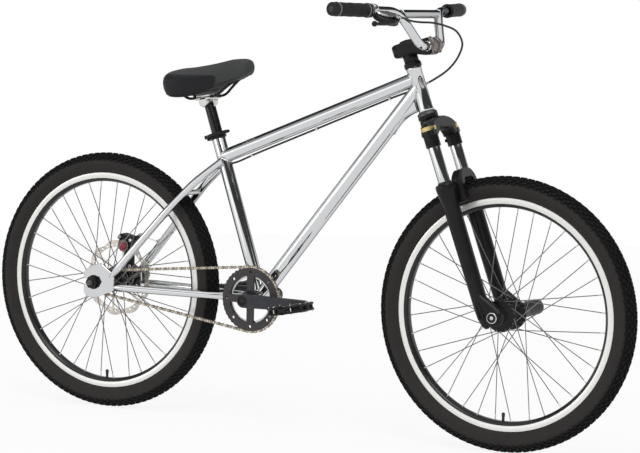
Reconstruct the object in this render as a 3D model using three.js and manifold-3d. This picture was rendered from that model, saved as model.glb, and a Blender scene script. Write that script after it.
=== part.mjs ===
// Dirt jump bike: a plated steel frame, a suspension fork, 26 inch wheels, one gear and a rear disc brake.
// Millimetres, +X forward, +Y to the rider's left, +Z up.
// The origin lies on the ground, midway between the two axles.

import * as THREE from "three";
import { mergeVertices } from "three/addons/utils/BufferGeometryUtils.js";
import Module from "manifold-3d";

const wasm = await Module();
wasm.setup();

// Clearances
const seatGap = 0.3;
const runGap = 1.2;
const overrun = 8;
const weld = 0.0005;

// Counts of facets
const ringSides = 36;
const tubeRingSides = 24;
const tubeSides = 16;
const staySides = 10;
const hubSides = 16;
const pinSides = 10;
const railSides = 6;
const cableSides = 8;
const boltSides = 8;
const nutSides = 6;
const jointSides = 12;
const holeSides = 6;
const slotSteps = 6;
const linkSteps = 6;
const lugSteps = 9;
const clampSteps = 10;
const earSteps = 5;
const cogSteps = 7;
const ringSteps = 16;
const armSteps = 3;
const windowSteps = 4;
const ballSides = 10;
const ballRings = 6;
const bendStations = 4;
const railStations = 3;
const runStations = 2;
const loopSteps = 17;
const searchSteps = 60;
const bendRoomShare = 0.45;

// Frame layout
const wheelbase = 1155;
const bracketDrop = 12;
const chainstayLength = 465;
const headAngle = 70;
const seatAngle = 71.5;

// Frame tubes
const headTubeLength = 112;
const headTubeRadius = 18.2;
const steererRadius = 14.3;
const topTubeRadius = 17.5;
const topTubeBelowHeadTop = 27;
const topTubeBelowSeatTop = 61;
const downTubeRadius = 19;
const downTubeAboveHeadFoot = 61;
const tubeWall = 1.6;
const mitreReach = 60;
const gussetLength = 138;
const gussetWidth = 24;
const gussetHeadFoot = 9;
const gussetWaist = 10;
const seatTubeLength = 436;
const seatTubeRadius = 17.3;
const seatTubeForward = 3.5;
const seatpostRadius = 14.3;
const bracketShellRadius = 20;
const bracketShellWidth = 73;
const spindleRadius = 9.5;
const stayRadius = 9.8;
const seatstayBow = 12;
const seatstayBelowTopTube = 12;
const seatstaySpread = 16;
const chainstaySpread = 24;
const bridgeRadius = 6.5;
const tyreToBridge = 14;

// Rear dropouts
const dropoutInnerWidth = 128;
const dropoutThickness = 6;
const dropoutHeight = 92;
const dropoutLength = 62;
const seatstayEndX = 50;
const seatstayEndZ = 15;
const chainstayEndX = 58;
const chainstayEndZ = -9;

// Wheels
const rimWidth = 30;
const rimOuterRadius = 285.5;
const rimDepth = 23.5;
const rimBedWidth = 17;
const rimShoulder = 7;
const rimFlange = 2;
const rimWellDepth = 8;
const tyreSectionWidth = 56;
const tyreHeight = 52.5;
const tyreWall = 3.6;
const beadDepth = 3.5;
const spokeCount = 36;
const spokeCross = 3;
const spokeRadius = 1.3;
const spokeRimOffset = 4;
const valveRadius = 3;
const valveLength = 38;
const valveTopShare = 0.3;

// Hubs and axles
const frontAxleRadius = 10;
const frontFlangeRadius = 40;
const frontFlangeY = 32;
const frontCoreRadius = 25;
const frontNoseRadius = 12.2;
const flangeThickness = 3.4;
const rearAxleRadius = 7;
const rearFlangeRadius = 31;
const rearFlangeY = 28;
const rearCoreRadius = 19;
const freewheelBossRadius = 14.5;
const rotorBossRadius = 17;
const rotorHubShare = 1.7;
const axleNutRadius = 13.5;
const axleNutHeight = 13;
const axleStub = 11;

// Disc brake
const rotorRadius = 101.5;
const rotorThickness = 2;
const rotorY = 49;
const rotorBand = 22;
const rotorArms = 6;
const rotorArmWidth = 13;
const padRadius = 91.5;
const caliperAngle = 76;
const caliperLength = 56;
const caliperReach = 20;
const caliperInnerHalf = 12;
const caliperOuterHalf = 22;
const caliperInShare = 0.8;
const caliperOutShare = 1.5;
const caliperFootShare = 0.6;
const caliperFootRiseShare = 0.42;
const caliperFootBackShare = 0.34;
const caliperArmLength = 42;
const caliperArmOutShare = 0.82;
const caliperArmBackShare = 0.57;
const caliperArmThickness = 5;
const knobRadius = 11.5;
const knobDepth = 7;

// Pegs
const pegLength = 108;
const pegRadius = 19;
const pegWall = 3.5;
const pegNeckRadius = 14;
const pegNeckLength = 8;
const pegBase = 7;

// Drive
const chainPitch = 12.7;
const chainringTeeth = 41;
const cogTeeth = 14;
const chainLine = 47;
const chainWidth = 8;
const chainHalfHeight = 4.3;
const toothReach = 2;
const toothThickness = 3;
const channelWidth = 4.2;
const ringBand = 18;
const ringArmWidth = 20;
const ringHubRadius = 26;
const ringArmCount = 4;
const ringHoleRadius = 3.6;
const ringHoleCount = 8;
const freewheelBodyRadius = 21;
const freewheelWidth = 12;

// Cranks and pedals
const crankLength = 175;
const crankThickness = 15;
const crankOuterY = 91;
const crankBossRadius = 18;
const crankEyeRadius = 15;
const pedalAxleRadius = 6;
const pedalGap = 14;
const pedalWidth = 94;
const pedalLength = 100;
const pedalHeight = 15;
const pedalBarrelRadius = 11;
const pedalRail = 12;
const pedalWindowShare = 0.8;

// Fork
const forkOffset = 48.8;
const legOffset = 20.5;
const legSpread = 61;
const legRadius = 20.5;
const stanchionRadius = 15;
const legAboveTyre = 8;
const exposedStanchion = 92;
const crownHeight = 74;
const crownLegRadius = 18.6;
const crownArch = 34;
const crownDepth = 36;
const crownBossRadius = 24;
const crownShoulder = 20;
const forkTravel = 80;
const stanchionOverlap = 150;
const legFoot = 20;
const lugRadius = 24;
const lugRootShare = 0.8;
const lugInnerWidth = 110;
const lugOuterWidth = 160;
const sealRadius = 23.5;
const sealHeight = 20;
const archRise = 26;
const archDrop = 56;
const archDepth = 28;
const archForward = 9.5;
const archHalf = 52;
const axleCapRadius = 13.5;
const axleCapDepth = 6;

// Headset, stem and bars
const lowerHeadsetHeight = 21.4;
const lowerHeadsetRadius = 25.5;
const upperHeadsetHeight = 15.5;
const upperHeadsetRadius = 22;
const spacerHeight = 17;
const spacerRadius = 18.5;
const stemClampHeight = 34;
const stemClampRear = 34;
const stemClampWidth = 40;
const stemReach = 61.3;
const stemBarDrop = 13;
const stemArmRadius = 16;
const stemArmWidth = 48;
const barClampRadius = 12.7;
const barClampWall = 9;
const barRadius = 11.1;
const barEndSpan = 240.5;
const barRise = 90;
const barUpsweep = 22;
const barLayback = 6;
const barBacksweep = 53;
const barClampWidth = 112;
const barUprightSpan = 216;
const barBendShare = 0.158;
const barFootBend = 16;
const crossbarRadius = 10.5;
const crossbarDrop = 6;
const gripShare = 0.5405;
const gripRadius = 16.5;
const gripFlangeRadius = 21;
const gripFlange = 4;
const gripEnd = 4;

// Brake lever
const perchFromGrip = 16;
const perchPivotInboard = 36;
const perchWidth = 15;
const perchRadius = 17;
const perchShare = 0.2162;
const perchBody = 15;
const perchEarShare = 0.7;
const perchEarThickness = 2.4;
const barrelRadius = 5;
const barrelReachShare = 0.6;
const leverTilt = 45;
const leverPivotReach = 52;
const leverLength = 106;
const leverFlare = 21;
const leverWidth = 11;
const leverThickness = 8;
const leverPinRadius = 2.75;
const leverBallRadius = 7;
const leverGap = 1;

// Saddle and seatpost
const seatpostExposed = 93;
const seatpostInsertion = 174;
const saddleTilt = 8;
const saddleLength = 241;
const saddleWidth = 156;
const saddleHeight = 117;
const saddleBelowClamp = 9.6;
const saddleBehindClamp = 105;
const saddleArch = 26;
const railRadius = 3.5;
const railSpread = 22;
const railBend = 14;
const railRise = 62;
const railClampHeight = 6;
const clampBarrelRadius = 12.5;
const clampBarrelWidth = 58;
const clampPlateLength = 46;
const clampPlateHeight = 13;
const collarHeight = 11;
const collarRadius = 21.8;
const collarEarLength = 7;
const collarEarWidth = 22;
const collarSlot = 2.4;
const leverBladeHeight = 9;
const leverBladeRise = 4;
const leverBladeWidth = 5;
const leverBladeLength = 54;
const leverBladeTip = 20;
const clampBoltRadius = 2.6;
const clampBoltHead = 5.2;

// Brake cable
const housingRadius = 2.6;
const housingBend = 12;

// Materials
const chromePlate = new THREE.MeshStandardMaterial({ color: 0xe2e5e8, roughness: 0.08, metalness: 1 });
const polishedAlloy = new THREE.MeshStandardMaterial({ color: 0xd2d4d6, roughness: 0.22, metalness: 1 });
const blackAlloy = new THREE.MeshStandardMaterial({ color: 0x17181a, roughness: 0.38, metalness: 0.6 });
const darkRing = new THREE.MeshStandardMaterial({ color: 0x3f3b3c, roughness: 0.5, metalness: 0.7 });
const crankGrey = new THREE.MeshStandardMaterial({ color: 0x2e3034, roughness: 0.42, metalness: 0.7 });
const tyreRubber = new THREE.MeshStandardMaterial({ color: 0x1d1e20, roughness: 0.85, metalness: 0 });
const tubeRubber = new THREE.MeshStandardMaterial({ color: 0x121212, roughness: 0.7, metalness: 0 });
const gripRubber = new THREE.MeshStandardMaterial({ color: 0x303136, roughness: 0.8, metalness: 0 });
const darkSteel = new THREE.MeshStandardMaterial({ color: 0x3a3c40, roughness: 0.35, metalness: 0.9 });
const chainSteel = new THREE.MeshStandardMaterial({ color: 0x9a8d7c, roughness: 0.4, metalness: 0.9 });
const rotorSteel = new THREE.MeshStandardMaterial({ color: 0xb8babd, roughness: 0.3, metalness: 1 });
const redKnob = new THREE.MeshStandardMaterial({ color: 0x7c1420, roughness: 0.35, metalness: 0.2 });
const housingBlack = new THREE.MeshStandardMaterial({ color: 0x141415, roughness: 0.45, metalness: 0 });
const saddleCover = new THREE.MeshStandardMaterial({ color: 0x26272a, roughness: 0.75, metalness: 0 });

// Angles
const turn = Math.PI * 2;
const quarter = Math.PI / 2;

function radians(degrees) {
  return (degrees * Math.PI) / 180;
}

function at(x, y, z) {
  return new THREE.Vector3(x, y, z);
}

const alongX = at(1, 0, 0);
const alongY = at(0, 1, 0);
const alongZ = at(0, 0, 1);

// A closed surface as a solid, wound so that its faces point out.
function solidOf(geometry) {
  const bare = geometry.index ? geometry.toNonIndexed() : geometry.clone();
  bare.deleteAttribute("normal");
  bare.deleteAttribute("uv");
  const merged = mergeVertices(bare, weld);
  const points = merged.attributes.position.array;
  const kept = [];
  let volume = 0;
  const corner = (i) => at(points[3 * i], points[3 * i + 1], points[3 * i + 2]);
  for (let i = 0; i < merged.index.count; i += 3) {
    const [a, b, c] = merged.index.array.slice(i, i + 3);
    if (a === b || b === c || c === a) continue;
    kept.push([a, b, c]);
    volume += corner(a).dot(corner(b).cross(corner(c)));
  }
  const wound = volume < 0 ? kept.map(([a, b, c]) => [a, c, b]) : kept;
  const triVerts = new Uint32Array(wound.flat());
  return new wasm.Manifold(new wasm.Mesh({ numProp: 3, vertProperties: points, triVerts }));
}

function geometryOf(solid) {
  const made = solid.getMesh();
  const geometry = new THREE.BufferGeometry();
  geometry.setAttribute("position", new THREE.BufferAttribute(new Float32Array(made.vertProperties), 3));
  geometry.setIndex(Array.from(made.triVerts));
  geometry.computeVertexNormals();
  return geometry;
}

function joined(...solids) {
  return solids.reduce((whole, part) => whole.add(part));
}

function cut(solid, ...tools) {
  return tools.reduce((left, tool) => left.subtract(tool), solid);
}

function moved(solid, matrix) {
  return solid.transform(matrix.elements);
}

// The part of one frame that another frame sees.
function seenFrom(place, solid, ownPlace) {
  return moved(solid, place.clone().invert().multiply(ownPlace));
}

function piece(group, name, solid, material) {
  const mesh = new THREE.Mesh(geometryOf(solid), material);
  mesh.name = name;
  group.add(mesh);
}

// A round bar, or a cone, from one point to another.
function bar(from, to, radius, sides = tubeSides, endRadius = radius) {
  const span = to.clone().sub(from);
  const geometry = new THREE.CylinderGeometry(endRadius, radius, span.length(), sides);
  geometry.applyQuaternion(new THREE.Quaternion().setFromUnitVectors(alongY, span.clone().normalize()));
  geometry.translate(...from.clone().addScaledVector(span, 1 / 2).toArray());
  return solidOf(geometry);
}

// A bar lengthened past both of its ends, for use as a cutter.
function drill(from, to, radius, sides = tubeSides) {
  const way = to.clone().sub(from).normalize().multiplyScalar(overrun);
  return bar(from.clone().sub(way), to.clone().add(way), radius, sides);
}

// A ring or boss turned about the Y axis, from points of radius and place along the axis.
function turnedY(profile, sides) {
  const points = profile.map(([radius, y]) => new THREE.Vector2(radius, y));
  return solidOf(new THREE.LatheGeometry(points, sides));
}

function closedRing(profile, sides) {
  return turnedY([...profile, profile[0]], sides);
}

function box(low, high) {
  const size = high.clone().sub(low);
  const geometry = new THREE.BoxGeometry(size.x, size.y, size.z);
  geometry.translate(...low.clone().addScaledVector(size, 1 / 2).toArray());
  return solidOf(geometry);
}

// The outline always runs anticlockwise, so that the walls of its holes face the right way.
function outlineShape(outline, holes = []) {
  const points = outline.map(([a, b]) => new THREE.Vector2(a, b));
  if (THREE.ShapeUtils.isClockWise(points)) points.reverse();
  const shape = new THREE.Shape(points);
  for (const hole of holes) shape.holes.push(new THREE.Path(hole.map(([a, b]) => new THREE.Vector2(a, b))));
  return shape;
}

// A plate whose outline lies in X and Z, between two values of Y.
function plateXZ(outline, lowY, highY, holes = []) {
  const geometry = new THREE.ExtrudeGeometry(outlineShape(outline, holes), {
    depth: highY - lowY,
    bevelEnabled: false,
  });
  geometry.applyMatrix4(new THREE.Matrix4().makeBasis(alongX, alongZ, alongY.clone().negate()));
  geometry.translate(0, highY, 0);
  return solidOf(geometry);
}

// A plate whose outline lies in Y and Z, between two values of X.
function plateYZ(outline, lowX, highX) {
  const geometry = new THREE.ExtrudeGeometry(outlineShape(outline), { depth: highX - lowX, bevelEnabled: false });
  geometry.applyMatrix4(new THREE.Matrix4().makeBasis(alongY, alongZ, alongX));
  geometry.translate(lowX, 0, 0);
  return solidOf(geometry);
}

// A plate whose outline lies in X and Y, between two values of Z.
function plateXY(outline, lowZ, highZ, holes = []) {
  const geometry = new THREE.ExtrudeGeometry(outlineShape(outline, holes), {
    depth: highZ - lowZ,
    bevelEnabled: false,
  });
  geometry.translate(0, 0, lowZ);
  return solidOf(geometry);
}

function circle(centreA, centreB, radius, count) {
  return Array.from({ length: count }, (_, i) => [
    centreA + radius * Math.cos((turn * i) / count),
    centreB + radius * Math.sin((turn * i) / count),
  ]);
}

// The outline of a belt round two circles, which is also the outline of a link with two round ends.
function beltOutline([ax, az], radiusA, [bx, bz], radiusB, stepsA, stepsB) {
  const heading = Math.atan2(bz - az, bx - ax);
  const lean = Math.asin((radiusB - radiusA) / Math.hypot(bx - ax, bz - az));
  const arc = (cx, cz, radius, start, sweep, steps) =>
    Array.from({ length: steps + 1 }, (_, i) => {
      const angle = start + (sweep * i) / steps;
      return [cx + radius * Math.cos(angle), cz + radius * Math.sin(angle)];
    });
  const front = arc(bx, bz, radiusB, heading - quarter - lean, 2 * (quarter + lean), stepsB);
  const rear = arc(ax, az, radiusA, heading + quarter + lean, 2 * (quarter - lean), stepsA);
  return [...front, ...rear];
}

// A path that visits its stations in even steps, so that straight runs need no stations between.
class StationPath extends THREE.Curve {
  constructor(stations) {
    super();
    this.stations = stations;
  }
  getPoint(t) {
    const last = this.stations.length - 1;
    const place = Math.min(Math.max(t, 0), 1) * last;
    const index = Math.min(Math.floor(place), last - 1);
    return this.stations[index].clone().lerp(this.stations[index + 1], place - index);
  }
  getPointAt(t) {
    return this.getPoint(t);
  }
  getTangentAt(t) {
    return this.getTangent(t);
  }
}

// The corners of a route rounded into short bends. Each bend starts at its own reach from the corner.
function rounded(corners, reachAt, stations = bendStations) {
  const route = [corners[0]];
  for (let i = 1; i < corners.length - 1; i++) {
    const before = corners[i - 1].clone().sub(corners[i]);
    const after = corners[i + 1].clone().sub(corners[i]);
    const reach = Math.min(reachAt(i), before.length() * bendRoomShare, after.length() * bendRoomShare);
    const bend = new THREE.QuadraticBezierCurve3(
      corners[i].clone().add(before.setLength(reach)),
      corners[i],
      corners[i].clone().add(after.setLength(reach)),
    );
    route.push(...bend.getPoints(stations - 1));
  }
  route.push(corners[corners.length - 1]);
  return route;
}

function pipe(stations, radius, sides) {
  const section = outlineShape(circle(0, 0, radius, sides));
  const path = new StationPath(stations);
  const steps = stations.length - 1;
  return solidOf(new THREE.ExtrudeGeometry(section, { steps, extrudePath: path, bevelEnabled: false }));
}

function smooth(points, steps) {
  return new THREE.CatmullRomCurve3(points, false, "centripetal").getSpacedPoints(steps);
}

// Layout worked out from the sizes
const rimInnerRadius = rimOuterRadius - rimDepth;
const wheelRadius = rimOuterRadius + tyreHeight;
const lowerLegLength = wheelRadius + legAboveTyre;
const saddleHeightOnPost = seatTubeLength + seatpostExposed;
const seatpostBottom = seatTubeLength - seatpostInsertion;
const barWidth = barUprightSpan + 2 * barEndSpan;
const barBend = barEndSpan * barBendShare;
const gripLength = barEndSpan * gripShare;
const perchLength = barEndSpan * perchShare;
const perchInboard = gripLength + perchFromGrip;
const rearAxle = at(-wheelbase / 2, 0, wheelRadius);
const frontAxle = at(wheelbase / 2, 0, wheelRadius);
const bracketX = rearAxle.x + Math.sqrt(chainstayLength ** 2 - bracketDrop ** 2);
const bracket = at(bracketX, 0, wheelRadius - bracketDrop);

// A leaning axis as a frame: its Z runs up the axis and its X points forward.
function leaningPlace(origin, degrees) {
  const up = at(-Math.cos(radians(degrees)), 0, Math.sin(radians(degrees)));
  const forward = at(up.z, 0, -up.x);
  return new THREE.Matrix4().makeBasis(forward, alongY, up).setPosition(origin);
}

const steerForward = at(Math.sin(radians(headAngle)), 0, Math.cos(radians(headAngle)));
const steerFoot = frontAxle.clone().addScaledVector(steerForward, -forkOffset);
const steerPlace = leaningPlace(steerFoot, headAngle);
const seatPlace = leaningPlace(bracket.clone().add(at(seatTubeForward, 0, 0)), seatAngle);
const world = new THREE.Matrix4();

function placedGroup(place) {
  const group = new THREE.Group();
  place.decompose(group.position, group.quaternion, group.scale);
  return group;
}

function onSteerAxis(height) {
  return at(0, 0, height).applyMatrix4(steerPlace);
}

function onSeatAxis(height) {
  return at(0, 0, height).applyMatrix4(seatPlace);
}

// Heights along the steering axis, counted from the foot beside the front axle
const crownFoot = lowerLegLength + exposedStanchion;
const crownTop = crownFoot + crownHeight;
const headFoot = crownTop + lowerHeadsetHeight;
const headTop = headFoot + headTubeLength;
const upperHeadsetTop = headTop + upperHeadsetHeight;
const stemFoot = upperHeadsetTop + spacerHeight;
const stemTop = stemFoot + stemClampHeight;
const barHeight = (stemFoot + stemTop) / 2 - stemBarDrop;

const bike = new THREE.Group();
const steeringGroup = placedGroup(steerPlace);
const seatGroup = placedGroup(seatPlace);
bike.add(steeringGroup, seatGroup);

// Head tube, with the bore that the steerer turns in
const headBore = steererRadius + runGap;
const headOutside = bar(at(0, 0, headFoot), at(0, 0, headTop), headTubeRadius);
piece(
  steeringGroup,
  "head_tube",
  cut(headOutside, drill(at(0, 0, headFoot), at(0, 0, headTop), headBore)),
  chromePlate,
);
const headClear = seenFrom(
  world,
  drill(at(0, 0, headFoot), at(0, 0, headTop), headTubeRadius + seatGap),
  steerPlace,
);

// Seat tube, with the bore that the seatpost slides in
const seatBore = seatpostRadius + seatGap;
const bracketClear = drill(
  at(bracket.x, -bracketShellWidth / 2, bracket.z),
  at(bracket.x, bracketShellWidth / 2, bracket.z),
  bracketShellRadius + seatGap,
);
const seatTube = cut(
  bar(at(0, 0, 0), at(0, 0, seatTubeLength), seatTubeRadius),
  drill(at(0, 0, 0), at(0, 0, seatTubeLength), seatBore),
  seenFrom(seatPlace, bracketClear, world),
);
piece(seatGroup, "seat_tube", seatTube, chromePlate);
const seatTubeClear = seenFrom(
  world,
  drill(at(0, 0, 0), at(0, 0, seatTubeLength), seatTubeRadius + seatGap),
  seatPlace,
);

// Bottom bracket shell round the crank spindle
const shellEnds = [
  at(bracket.x, -bracketShellWidth / 2, bracket.z),
  at(bracket.x, bracketShellWidth / 2, bracket.z),
];
piece(
  bike,
  "bottom_bracket_shell",
  cut(bar(...shellEnds, bracketShellRadius), drill(...shellEnds, spindleRadius + seatGap)),
  chromePlate,
);

// Top tube, mitred to the head tube and the seat tube
const topTubeEnds = [onSeatAxis(seatTubeLength - topTubeBelowSeatTop), onSteerAxis(headTop - topTubeBelowHeadTop)];
piece(
  bike,
  "top_tube",
  cut(bar(...topTubeEnds, topTubeRadius), bar(...topTubeEnds, topTubeRadius - tubeWall), headClear, seatTubeClear),
  chromePlate,
);
const topTubeClear = bar(...topTubeEnds, topTubeRadius + seatGap);
const topTubeWay = topTubeEnds[1].clone().sub(topTubeEnds[0]).normalize();
const topTubeUp = at(-topTubeWay.z, 0, topTubeWay.x);
const aboveTopTube = plateXZ(
  [
    topTubeEnds[0],
    topTubeEnds[1].clone().addScaledVector(topTubeWay, mitreReach),
    topTubeEnds[1].clone().addScaledVector(topTubeWay, mitreReach).addScaledVector(topTubeUp, mitreReach),
    topTubeEnds[0].clone().addScaledVector(topTubeUp, mitreReach),
  ].map((corner) => [corner.x, corner.z]),
  -mitreReach,
  mitreReach,
);

// Down tube with the folded gusset that is welded under it behind the head tube
const downTubeEnds = [bracket, onSteerAxis(headFoot + downTubeAboveHeadFoot)];
const downTubeWay = downTubeEnds[0].clone().sub(downTubeEnds[1]).normalize();
const downTubeUnder = at(-downTubeWay.z, 0, downTubeWay.x).multiplyScalar(-downTubeRadius * Math.sign(downTubeWay.x));
const gussetCorners = [
  onSteerAxis(headFoot + gussetHeadFoot),
  downTubeEnds[1],
  downTubeEnds[1].clone().addScaledVector(downTubeWay, gussetLength),
  downTubeEnds[1].clone().addScaledVector(downTubeWay, gussetLength).add(downTubeUnder),
];
const gussetAlongShares = [0.25, 0.5, 0.75];
const gussetWaistShares = [0.75, 1, 0.75];
const gussetInward = downTubeUnder.clone().setLength(-gussetWaist);
const gussetEdge = gussetAlongShares.map((share, i) =>
  gussetCorners[3].clone().lerp(gussetCorners[0], share).addScaledVector(gussetInward, gussetWaistShares[i]),
);
const gusset = plateXZ(
  [...gussetCorners, ...gussetEdge].map((corner) => [corner.x, corner.z]),
  -gussetWidth / 2,
  gussetWidth / 2,
);
piece(
  bike,
  "down_tube",
  cut(
    joined(bar(...downTubeEnds, downTubeRadius), gusset),
    bar(...downTubeEnds, downTubeRadius - tubeWall),
    headClear,
    topTubeClear,
    aboveTopTube,
    seatTubeClear,
    bracketClear,
  ),
  chromePlate,
);
const downTubeClear = bar(...downTubeEnds, downTubeRadius + seatGap);

// Stays: each runs from its tube to the dropout plate and is slotted over the plate
const dropoutY = (dropoutInnerWidth + dropoutThickness) / 2;
const seatstayStart = onSeatAxis(seatTubeLength - topTubeBelowSeatTop - seatstayBelowTopTube);
const seatstayAlongShares = [0, 0.12, 0.21, 0.3, 0.39, 0.46, 0.62, 0.81, 1];
const seatstayBowShares = [0, 0.6, 0.95, 1, 0.97, 0.87, 0.6, 0.27, 0];
const seatstayOutShares = [0, 0.2, 0.34, 0.46, 0.58, 0.66, 0.8, 0.93, 1];
const chainstayAlongShares = [0, 0.1, 0.2, 0.33, 0.47, 0.75, 1];
const chainstayOutShares = [0, 0.02, 0.12, 0.44, 0.6, 0.85, 1];

function seatstayRoute(side) {
  const end = rearAxle.clone().add(at(seatstayEndX, 0, seatstayEndZ));
  const way = end.clone().sub(seatstayStart);
  const bow = at(way.z, 0, -way.x).normalize().multiplyScalar(seatstayBow);
  return seatstayAlongShares.map((share, i) => {
    const point = seatstayStart.clone().addScaledVector(way, share).addScaledVector(bow, seatstayBowShares[i]);
    point.y = side * (seatstaySpread + (dropoutY - seatstaySpread) * seatstayOutShares[i]);
    return point;
  });
}

function chainstayRoute(side) {
  const end = rearAxle.clone().add(at(chainstayEndX, 0, chainstayEndZ));
  return chainstayAlongShares.map((share, i) => {
    const point = bracket.clone().lerp(end, share);
    point.y = side * (chainstaySpread + (dropoutY - chainstaySpread) * chainstayOutShares[i]);
    return point;
  });
}

// Dropout outline as shares of its length and height, counted from the axle centre
const dropoutXShares = [-0.5, -0.5, -0.12, 0.36, 0.62, 1, 1, 0.62, 0.1, -0.32, -0.5, -0.5];
const dropoutZShares = [0.12, 0.3, 0.46, 0.56, 0.42, 0.26, -0.22, -0.3, -0.44, -0.44, -0.34, -0.12];

function dropoutOutline(grow) {
  const slot = rearAxleRadius + seatGap;
  const outline = dropoutXShares.map((share, i) => [
    rearAxle.x + share * dropoutLength + grow * Math.sign(share),
    rearAxle.z + dropoutZShares[i] * dropoutHeight + grow * Math.sign(dropoutZShares[i]),
  ]);
  if (grow) return outline;
  const throat = Array.from({ length: slotSteps + 1 }, (_, i) => {
    const angle = -quarter + (Math.PI * i) / slotSteps;
    return [rearAxle.x + slot * Math.cos(angle), rearAxle.z + slot * Math.sin(angle)];
  });
  const rear = rearAxle.x - dropoutLength / 2;
  return [...outline, [rear, rearAxle.z - slot], ...throat, [rear, rearAxle.z + slot]];
}

for (const [side, hand] of [
  [1, "left"],
  [-1, "right"],
]) {
  const faces = [side * dropoutY - dropoutThickness / 2, side * dropoutY + dropoutThickness / 2];
  const plateClear = plateXZ(dropoutOutline(seatGap), faces[0] - seatGap, faces[1] + seatGap);
  piece(bike, "dropout_" + hand, plateXZ(dropoutOutline(0), ...faces), chromePlate);
  const chainstay = cut(pipe(chainstayRoute(side), stayRadius, staySides), bracketClear, plateClear, seatTubeClear);
  const seatstay = cut(pipe(seatstayRoute(side), stayRadius, staySides), seatTubeClear, topTubeClear, plateClear);
  piece(bike, "chainstay_" + hand, chainstay, chromePlate);
  piece(bike, "seatstay_" + hand, seatstay, chromePlate);
}

// Bridge between the seatstays, just above the tyre
const stayPath = new THREE.CatmullRomCurve3(seatstayRoute(1), false, "centripetal").getSpacedPoints(searchSteps);
const bridgeReach = wheelRadius + tyreToBridge + bridgeRadius;
const bridgeAt = stayPath.find((point) => Math.hypot(point.x - rearAxle.x, point.z - rearAxle.z) < bridgeReach);
const stayClear = [1, -1].map((side) => pipe(seatstayRoute(side), stayRadius + seatGap, staySides));
piece(
  bike,
  "seatstay_bridge",
  cut(
    bar(at(bridgeAt.x, -bridgeAt.y, bridgeAt.z), at(bridgeAt.x, bridgeAt.y, bridgeAt.z), bridgeRadius, staySides),
    ...stayClear,
  ),
  chromePlate,
);

// Headset cups, pressed on the ends of the head tube
function cup(low, high, radius, lipShare) {
  const lip = (high - low) * lipShare;
  const bore = steererRadius + seatGap;
  const outer = joined(
    bar(at(0, 0, low), at(0, 0, high - lip), radius, hubSides),
    bar(at(0, 0, high - lip), at(0, 0, high), radius, hubSides, headTubeRadius),
  );
  return cut(outer, drill(at(0, 0, low), at(0, 0, high), bore, hubSides));
}

const cupLipShare = 0.25;
piece(
  steeringGroup,
  "headset_lower_cup",
  cup(crownTop + seatGap, headFoot - seatGap, lowerHeadsetRadius, cupLipShare),
  blackAlloy,
);
piece(
  steeringGroup,
  "headset_upper_cup",
  cup(headTop + seatGap, upperHeadsetTop, upperHeadsetRadius, cupLipShare),
  blackAlloy,
);

// Fork crown and steerer in one piece, with a blind bore for each stanchion
const legSides = [1, -1];
const stanchionTop = crownFoot + crownHeight / 2;
const crownHalfSpan = legSpread + crownLegRadius;
const crownSpanShares = [-1, -0.92, -0.66, -0.3, 0.3, 0.66, 0.92, 1, 0.56, 0.42, 0.2, -0.2, -0.42, -0.56];
const crownHeightShares = [0.34, 0.66, 0.91, 1, 1, 0.91, 0.66, 0.34, 0.34, 0.56, 0.62, 0.62, 0.56, 0.34];
const crownBridge = plateYZ(
  crownSpanShares.map((share, i) => [share * crownHalfSpan, crownFoot + crownHeight * crownHeightShares[i]]),
  legOffset - crownDepth / 2,
  legOffset + crownDepth / 2,
);
const crownBoss = bar(at(0, 0, crownTop - crownArch), at(0, 0, crownTop), crownBossRadius);
const crownLegs = legSides.map((side) =>
  bar(at(legOffset, side * legSpread, crownFoot), at(legOffset, side * legSpread, crownTop - crownShoulder), crownLegRadius),
);
const stanchionBores = legSides.map((side) =>
  bar(
    at(legOffset, side * legSpread, crownFoot - overrun),
    at(legOffset, side * legSpread, stanchionTop + seatGap),
    stanchionRadius + seatGap,
  ),
);
const steerer = bar(at(0, 0, crownTop - crownArch), at(0, 0, stemTop - seatGap), steererRadius, hubSides);
piece(steeringGroup, "fork_crown", cut(joined(crownBridge, crownBoss, ...crownLegs, steerer), ...stanchionBores), blackAlloy);

for (const [side, hand] of [
  [1, "left"],
  [-1, "right"],
]) {
  const foot = at(legOffset, side * legSpread, lowerLegLength - stanchionOverlap);
  piece(
    steeringGroup,
    "stanchion_" + hand,
    bar(foot, at(legOffset, side * legSpread, stanchionTop), stanchionRadius),
    chromePlate,
  );
}

// Fork lowers: two legs, the axle lugs in front of them and the arch over the tyre
const boreFoot = lowerLegLength - stanchionOverlap - forkTravel - overrun;
const legParts = legSides.flatMap((side) => {
  const y = side * legSpread;
  const lugFaces = [(side * lugInnerWidth) / 2, (side * lugOuterWidth) / 2].sort((a, b) => a - b);
  const lugOutline = beltOutline(
    [legOffset, lugRadius + legFoot],
    legRadius * lugRootShare,
    [forkOffset, 0],
    lugRadius,
    linkSteps,
    lugSteps,
  );
  return [
    bar(at(legOffset, y, -legFoot), at(legOffset, y, lowerLegLength), legRadius),
    bar(at(legOffset, y, lowerLegLength - sealHeight), at(legOffset, y, lowerLegLength), sealRadius),
    plateXZ(lugOutline, ...lugFaces),
  ];
});
const archFoot = lowerLegLength - archDrop;
const archTop = lowerLegLength + archRise;
const archSpanShares = [-0.96, -1, -0.85, -0.42, 0.42, 0.85, 1, 0.96, 0.7, 0.7, 0.46, -0.46, -0.7, -0.7];
const archRiseShares = [0, 0.49, 0.8, 1, 1, 0.8, 0.49, 0, 0, 0.49, 0.71, 0.71, 0.49, 0];
const arch = plateYZ(
  archSpanShares.map((share, i) => [share * archHalf, archFoot + (archTop - archFoot) * archRiseShares[i]]),
  legOffset + archForward,
  legOffset + archForward + archDepth,
);
const lowerBores = legSides.map((side) =>
  bar(
    at(legOffset, side * legSpread, boreFoot),
    at(legOffset, side * legSpread, archTop + overrun),
    stanchionRadius + seatGap,
  ),
);
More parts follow.
